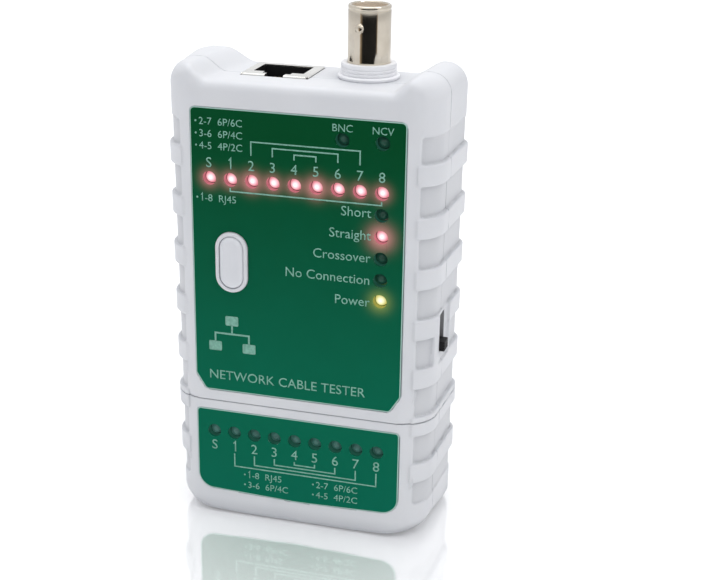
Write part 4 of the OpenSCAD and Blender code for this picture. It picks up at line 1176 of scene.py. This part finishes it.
battery_outline = rectangle(0, battery_box.mid[1], *battery_box.size[:2], 2.0)
BAND_Z = battery_box.high[2] - 13
cell = [
    (*slab(battery_outline, battery_box.low[2], BAND_Z, 0.5, "z", (True, False)), 0),
    (*slab(battery_outline, BAND_Z, battery_box.high[2], 0.7, "z", (False, True)), 1),
]
fit(make("battery_block", cell, [JACKET, BAND]), "main_unit", "battery_jacket", "battery")


def case_screws(name, zs, body, node_name):
    """Pan head screws with a cross recess and a threaded shank."""
    profile = [(0.02, -16.0), (0.9, -15.8)]
    for h in -15.6 + 0.72 * np.arange(20):
        profile += [(1.15, h), (1.4, h + 0.3), (1.15, h + 0.6)]
    profile += [(1.15, -1.0), (1.4, -0.1), (1.4, 0.0), (2.45, 0.0), (2.6, 0.15), (2.58, 0.8), (2.3, 1.35)]
    profile += [(1.7, 1.68), (0.9, 1.78), (0.02, 1.8)]
    spots = [(s * BOSS_X, z) for z in zs for s in SIDES]
    obj = make(name, [lathe(profile, (*spot, SCREW_HEAD_Y), "y", 36) for spot in spots], [STEEL], 40)
    depths = [(0.2, SCREW_HEAD_Y + 0.8), (0, SCREW_HEAD_Y + 3)]
    cross = ((2.8, 0.55), (0.55, 2.8))
    cut(obj, [prism(rectangle(*spot, *size, 0.15, 3), depths) for spot in spots for size in cross], 40)
    fit(obj, body, "switch_metal", node_name)


case_screws("rear_screws", BOSS_ZS, "main_unit", "case_screws")
case_screws("remote_rear_screws", REMOTE_BOSS_ZS, "remote_unit", "remote_screws")


# Floor, light and camera
def plane(name, size, location, rotation=(0, 0, 0)):
    mesh = bpy.data.meshes.new(name)
    w, h = size[0] / 2, size[1] / 2
    mesh.from_pydata([(-w, -h, 0), (w, -h, 0), (w, h, 0), (-w, h, 0)], [], [(0, 1, 2, 3)])
    obj = add_object(name, mesh)
    obj.location, obj.rotation_euler = location, rotation
    return obj


def floor_material():
    """Pale acrylic sheet whose mirror image fades away from the case."""
    material, tree, shader = start_material("floor_acrylic", Specular_IOR_Level=0.0, Emission_Color=(1, 1, 1, 1))
    base = tone(tree, noise(tree, 4, 2), (0.90, 0.90, 0.91), (0.93, 0.93, 0.935))
    seen = spread(tree, node(tree, "LightPath").outputs["Is Camera Ray"], 0.14, 0.45)
    rough = spread(tree, noise(tree, 30, 2), 0.45, 0.55)
    feed(shader, {"Base Color": base, "Roughness": rough, "Emission Strength": seen})
    away = vector(tree, "LENGTH", texture_place(tree))["Value"]
    mirror = node(tree, "BsdfGlossy", {"Roughness": 0.04, "Color": (1, 1, 1, 1)})
    end_mix(tree, spread(tree, away, 0.62, 0.08, 0.02, 0.16), shader, mirror)
    return material


def card_material():
    """Black card with warm ends, which rays rising from the floor pass through."""
    material, tree, shader = start_material("card_black", Roughness=1.0, Base_Color=(0, 0, 0, 1))
    edge = calc(tree, "ABSOLUTE", split(tree, texture_place(tree))["X"])
    warmth = tone(tree, edge, (0, 0, 0), (0.46, 0.36, 0.25), 0.165, 0.225)
    feed(shader, {"Emission Color": warmth, "Emission Strength": 1.0})
    arriving = split(tree, node(tree, "NewGeometry").outputs["Incoming"])["Z"]
    end_mix(tree, calc(tree, "GREATER_THAN", arriving, 0.0), node(tree, "BsdfTransparent"), shader)
    return material


def area_light(name, location, target, size, power):
    data = bpy.data.lights.new(name, "AREA")
    data.shape, data.size, data.size_y, data.energy = "RECTANGLE", *size, power
    obj = add_object(name, data)
    obj.location = location
    obj.rotation_euler = (Vector(target) - Vector(location)).to_track_quat("-Z", "Y").to_euler()


plane("floor", (14, 14), (0, 0, -0.00005)).data.materials.append(floor_material())
area_light("top_softbox", (-0.05, 0.05, 0.9), (0, 0, 0.08), (0.9, 0.9), 3.8)
area_light("right_softbox", (0.55, -0.12, 0.72), (0, 0, 0.06), (0.22, 0.30), 1.05)

# Only mirror-like surfaces see the card, as the unlit side of the studio
card = plane("card", (0.46, 0.34), (0.10, -0.20, 0.03), (math.radians(90), 0, 0))
card.data.materials.append(card_material())
for kind in ("camera", "diffuse", "transmission", "shadow", "volume_scatter"):
    setattr(card, "visible_" + kind, False)

# Studio walls: graded for diffuse light, even for mirrors, white for the camera
world = bpy.data.worlds.new("studio")
bpy.context.scene.world = world
world.use_nodes = True
sky = world.node_tree
around = split(sky, texture_place(sky, "Generated"))
grade = tone(sky, around["Z"], (0.34, 0.35, 0.365), (0.74, 0.75, 0.78), 0.0, 0.9)
side = spread(sky, around["X"], 1.0, 0.6)
toned = node(sky, "VectorMath", {0: grade, "Scale": side}, operation="SCALE").outputs[0]
rays = node(sky, "LightPath").outputs
mirrored = mixed_colour(sky, rays["Is Glossy Ray"], toned, (0.86, 0.87, 0.89, 1))
feed(sky.nodes["Background"], {"Color": mixed_colour(sky, rays["Is Camera Ray"], mirrored, (1, 1, 1, 1))})

YAW, PITCH, ROLL = math.radians(15.76), math.radians(20.27), math.radians(0.78)
FOCAL = 73.69
STANDOFF = 0.3425
aim = (cad_low + cad_high) / 2 + Vector((0.00886, 0.0010, -0.00565))
camera = add_object("camera", bpy.data.cameras.new("camera"))
camera.data.lens, camera.data.clip_start, camera.data.clip_end = FOCAL, 0.01, 20
turn = Matrix.Rotation(YAW, 4, "Z") @ Matrix.Rotation(math.pi / 2 - PITCH, 4, "X") @ Matrix.Rotation(ROLL, 4, "Z")
camera.matrix_world = Matrix.Translation(aim) @ turn @ Matrix.Translation((0, 0, STANDOFF))
bpy.context.scene.camera = camera
bpy.context.scene.view_settings.view_transform = "Standard"
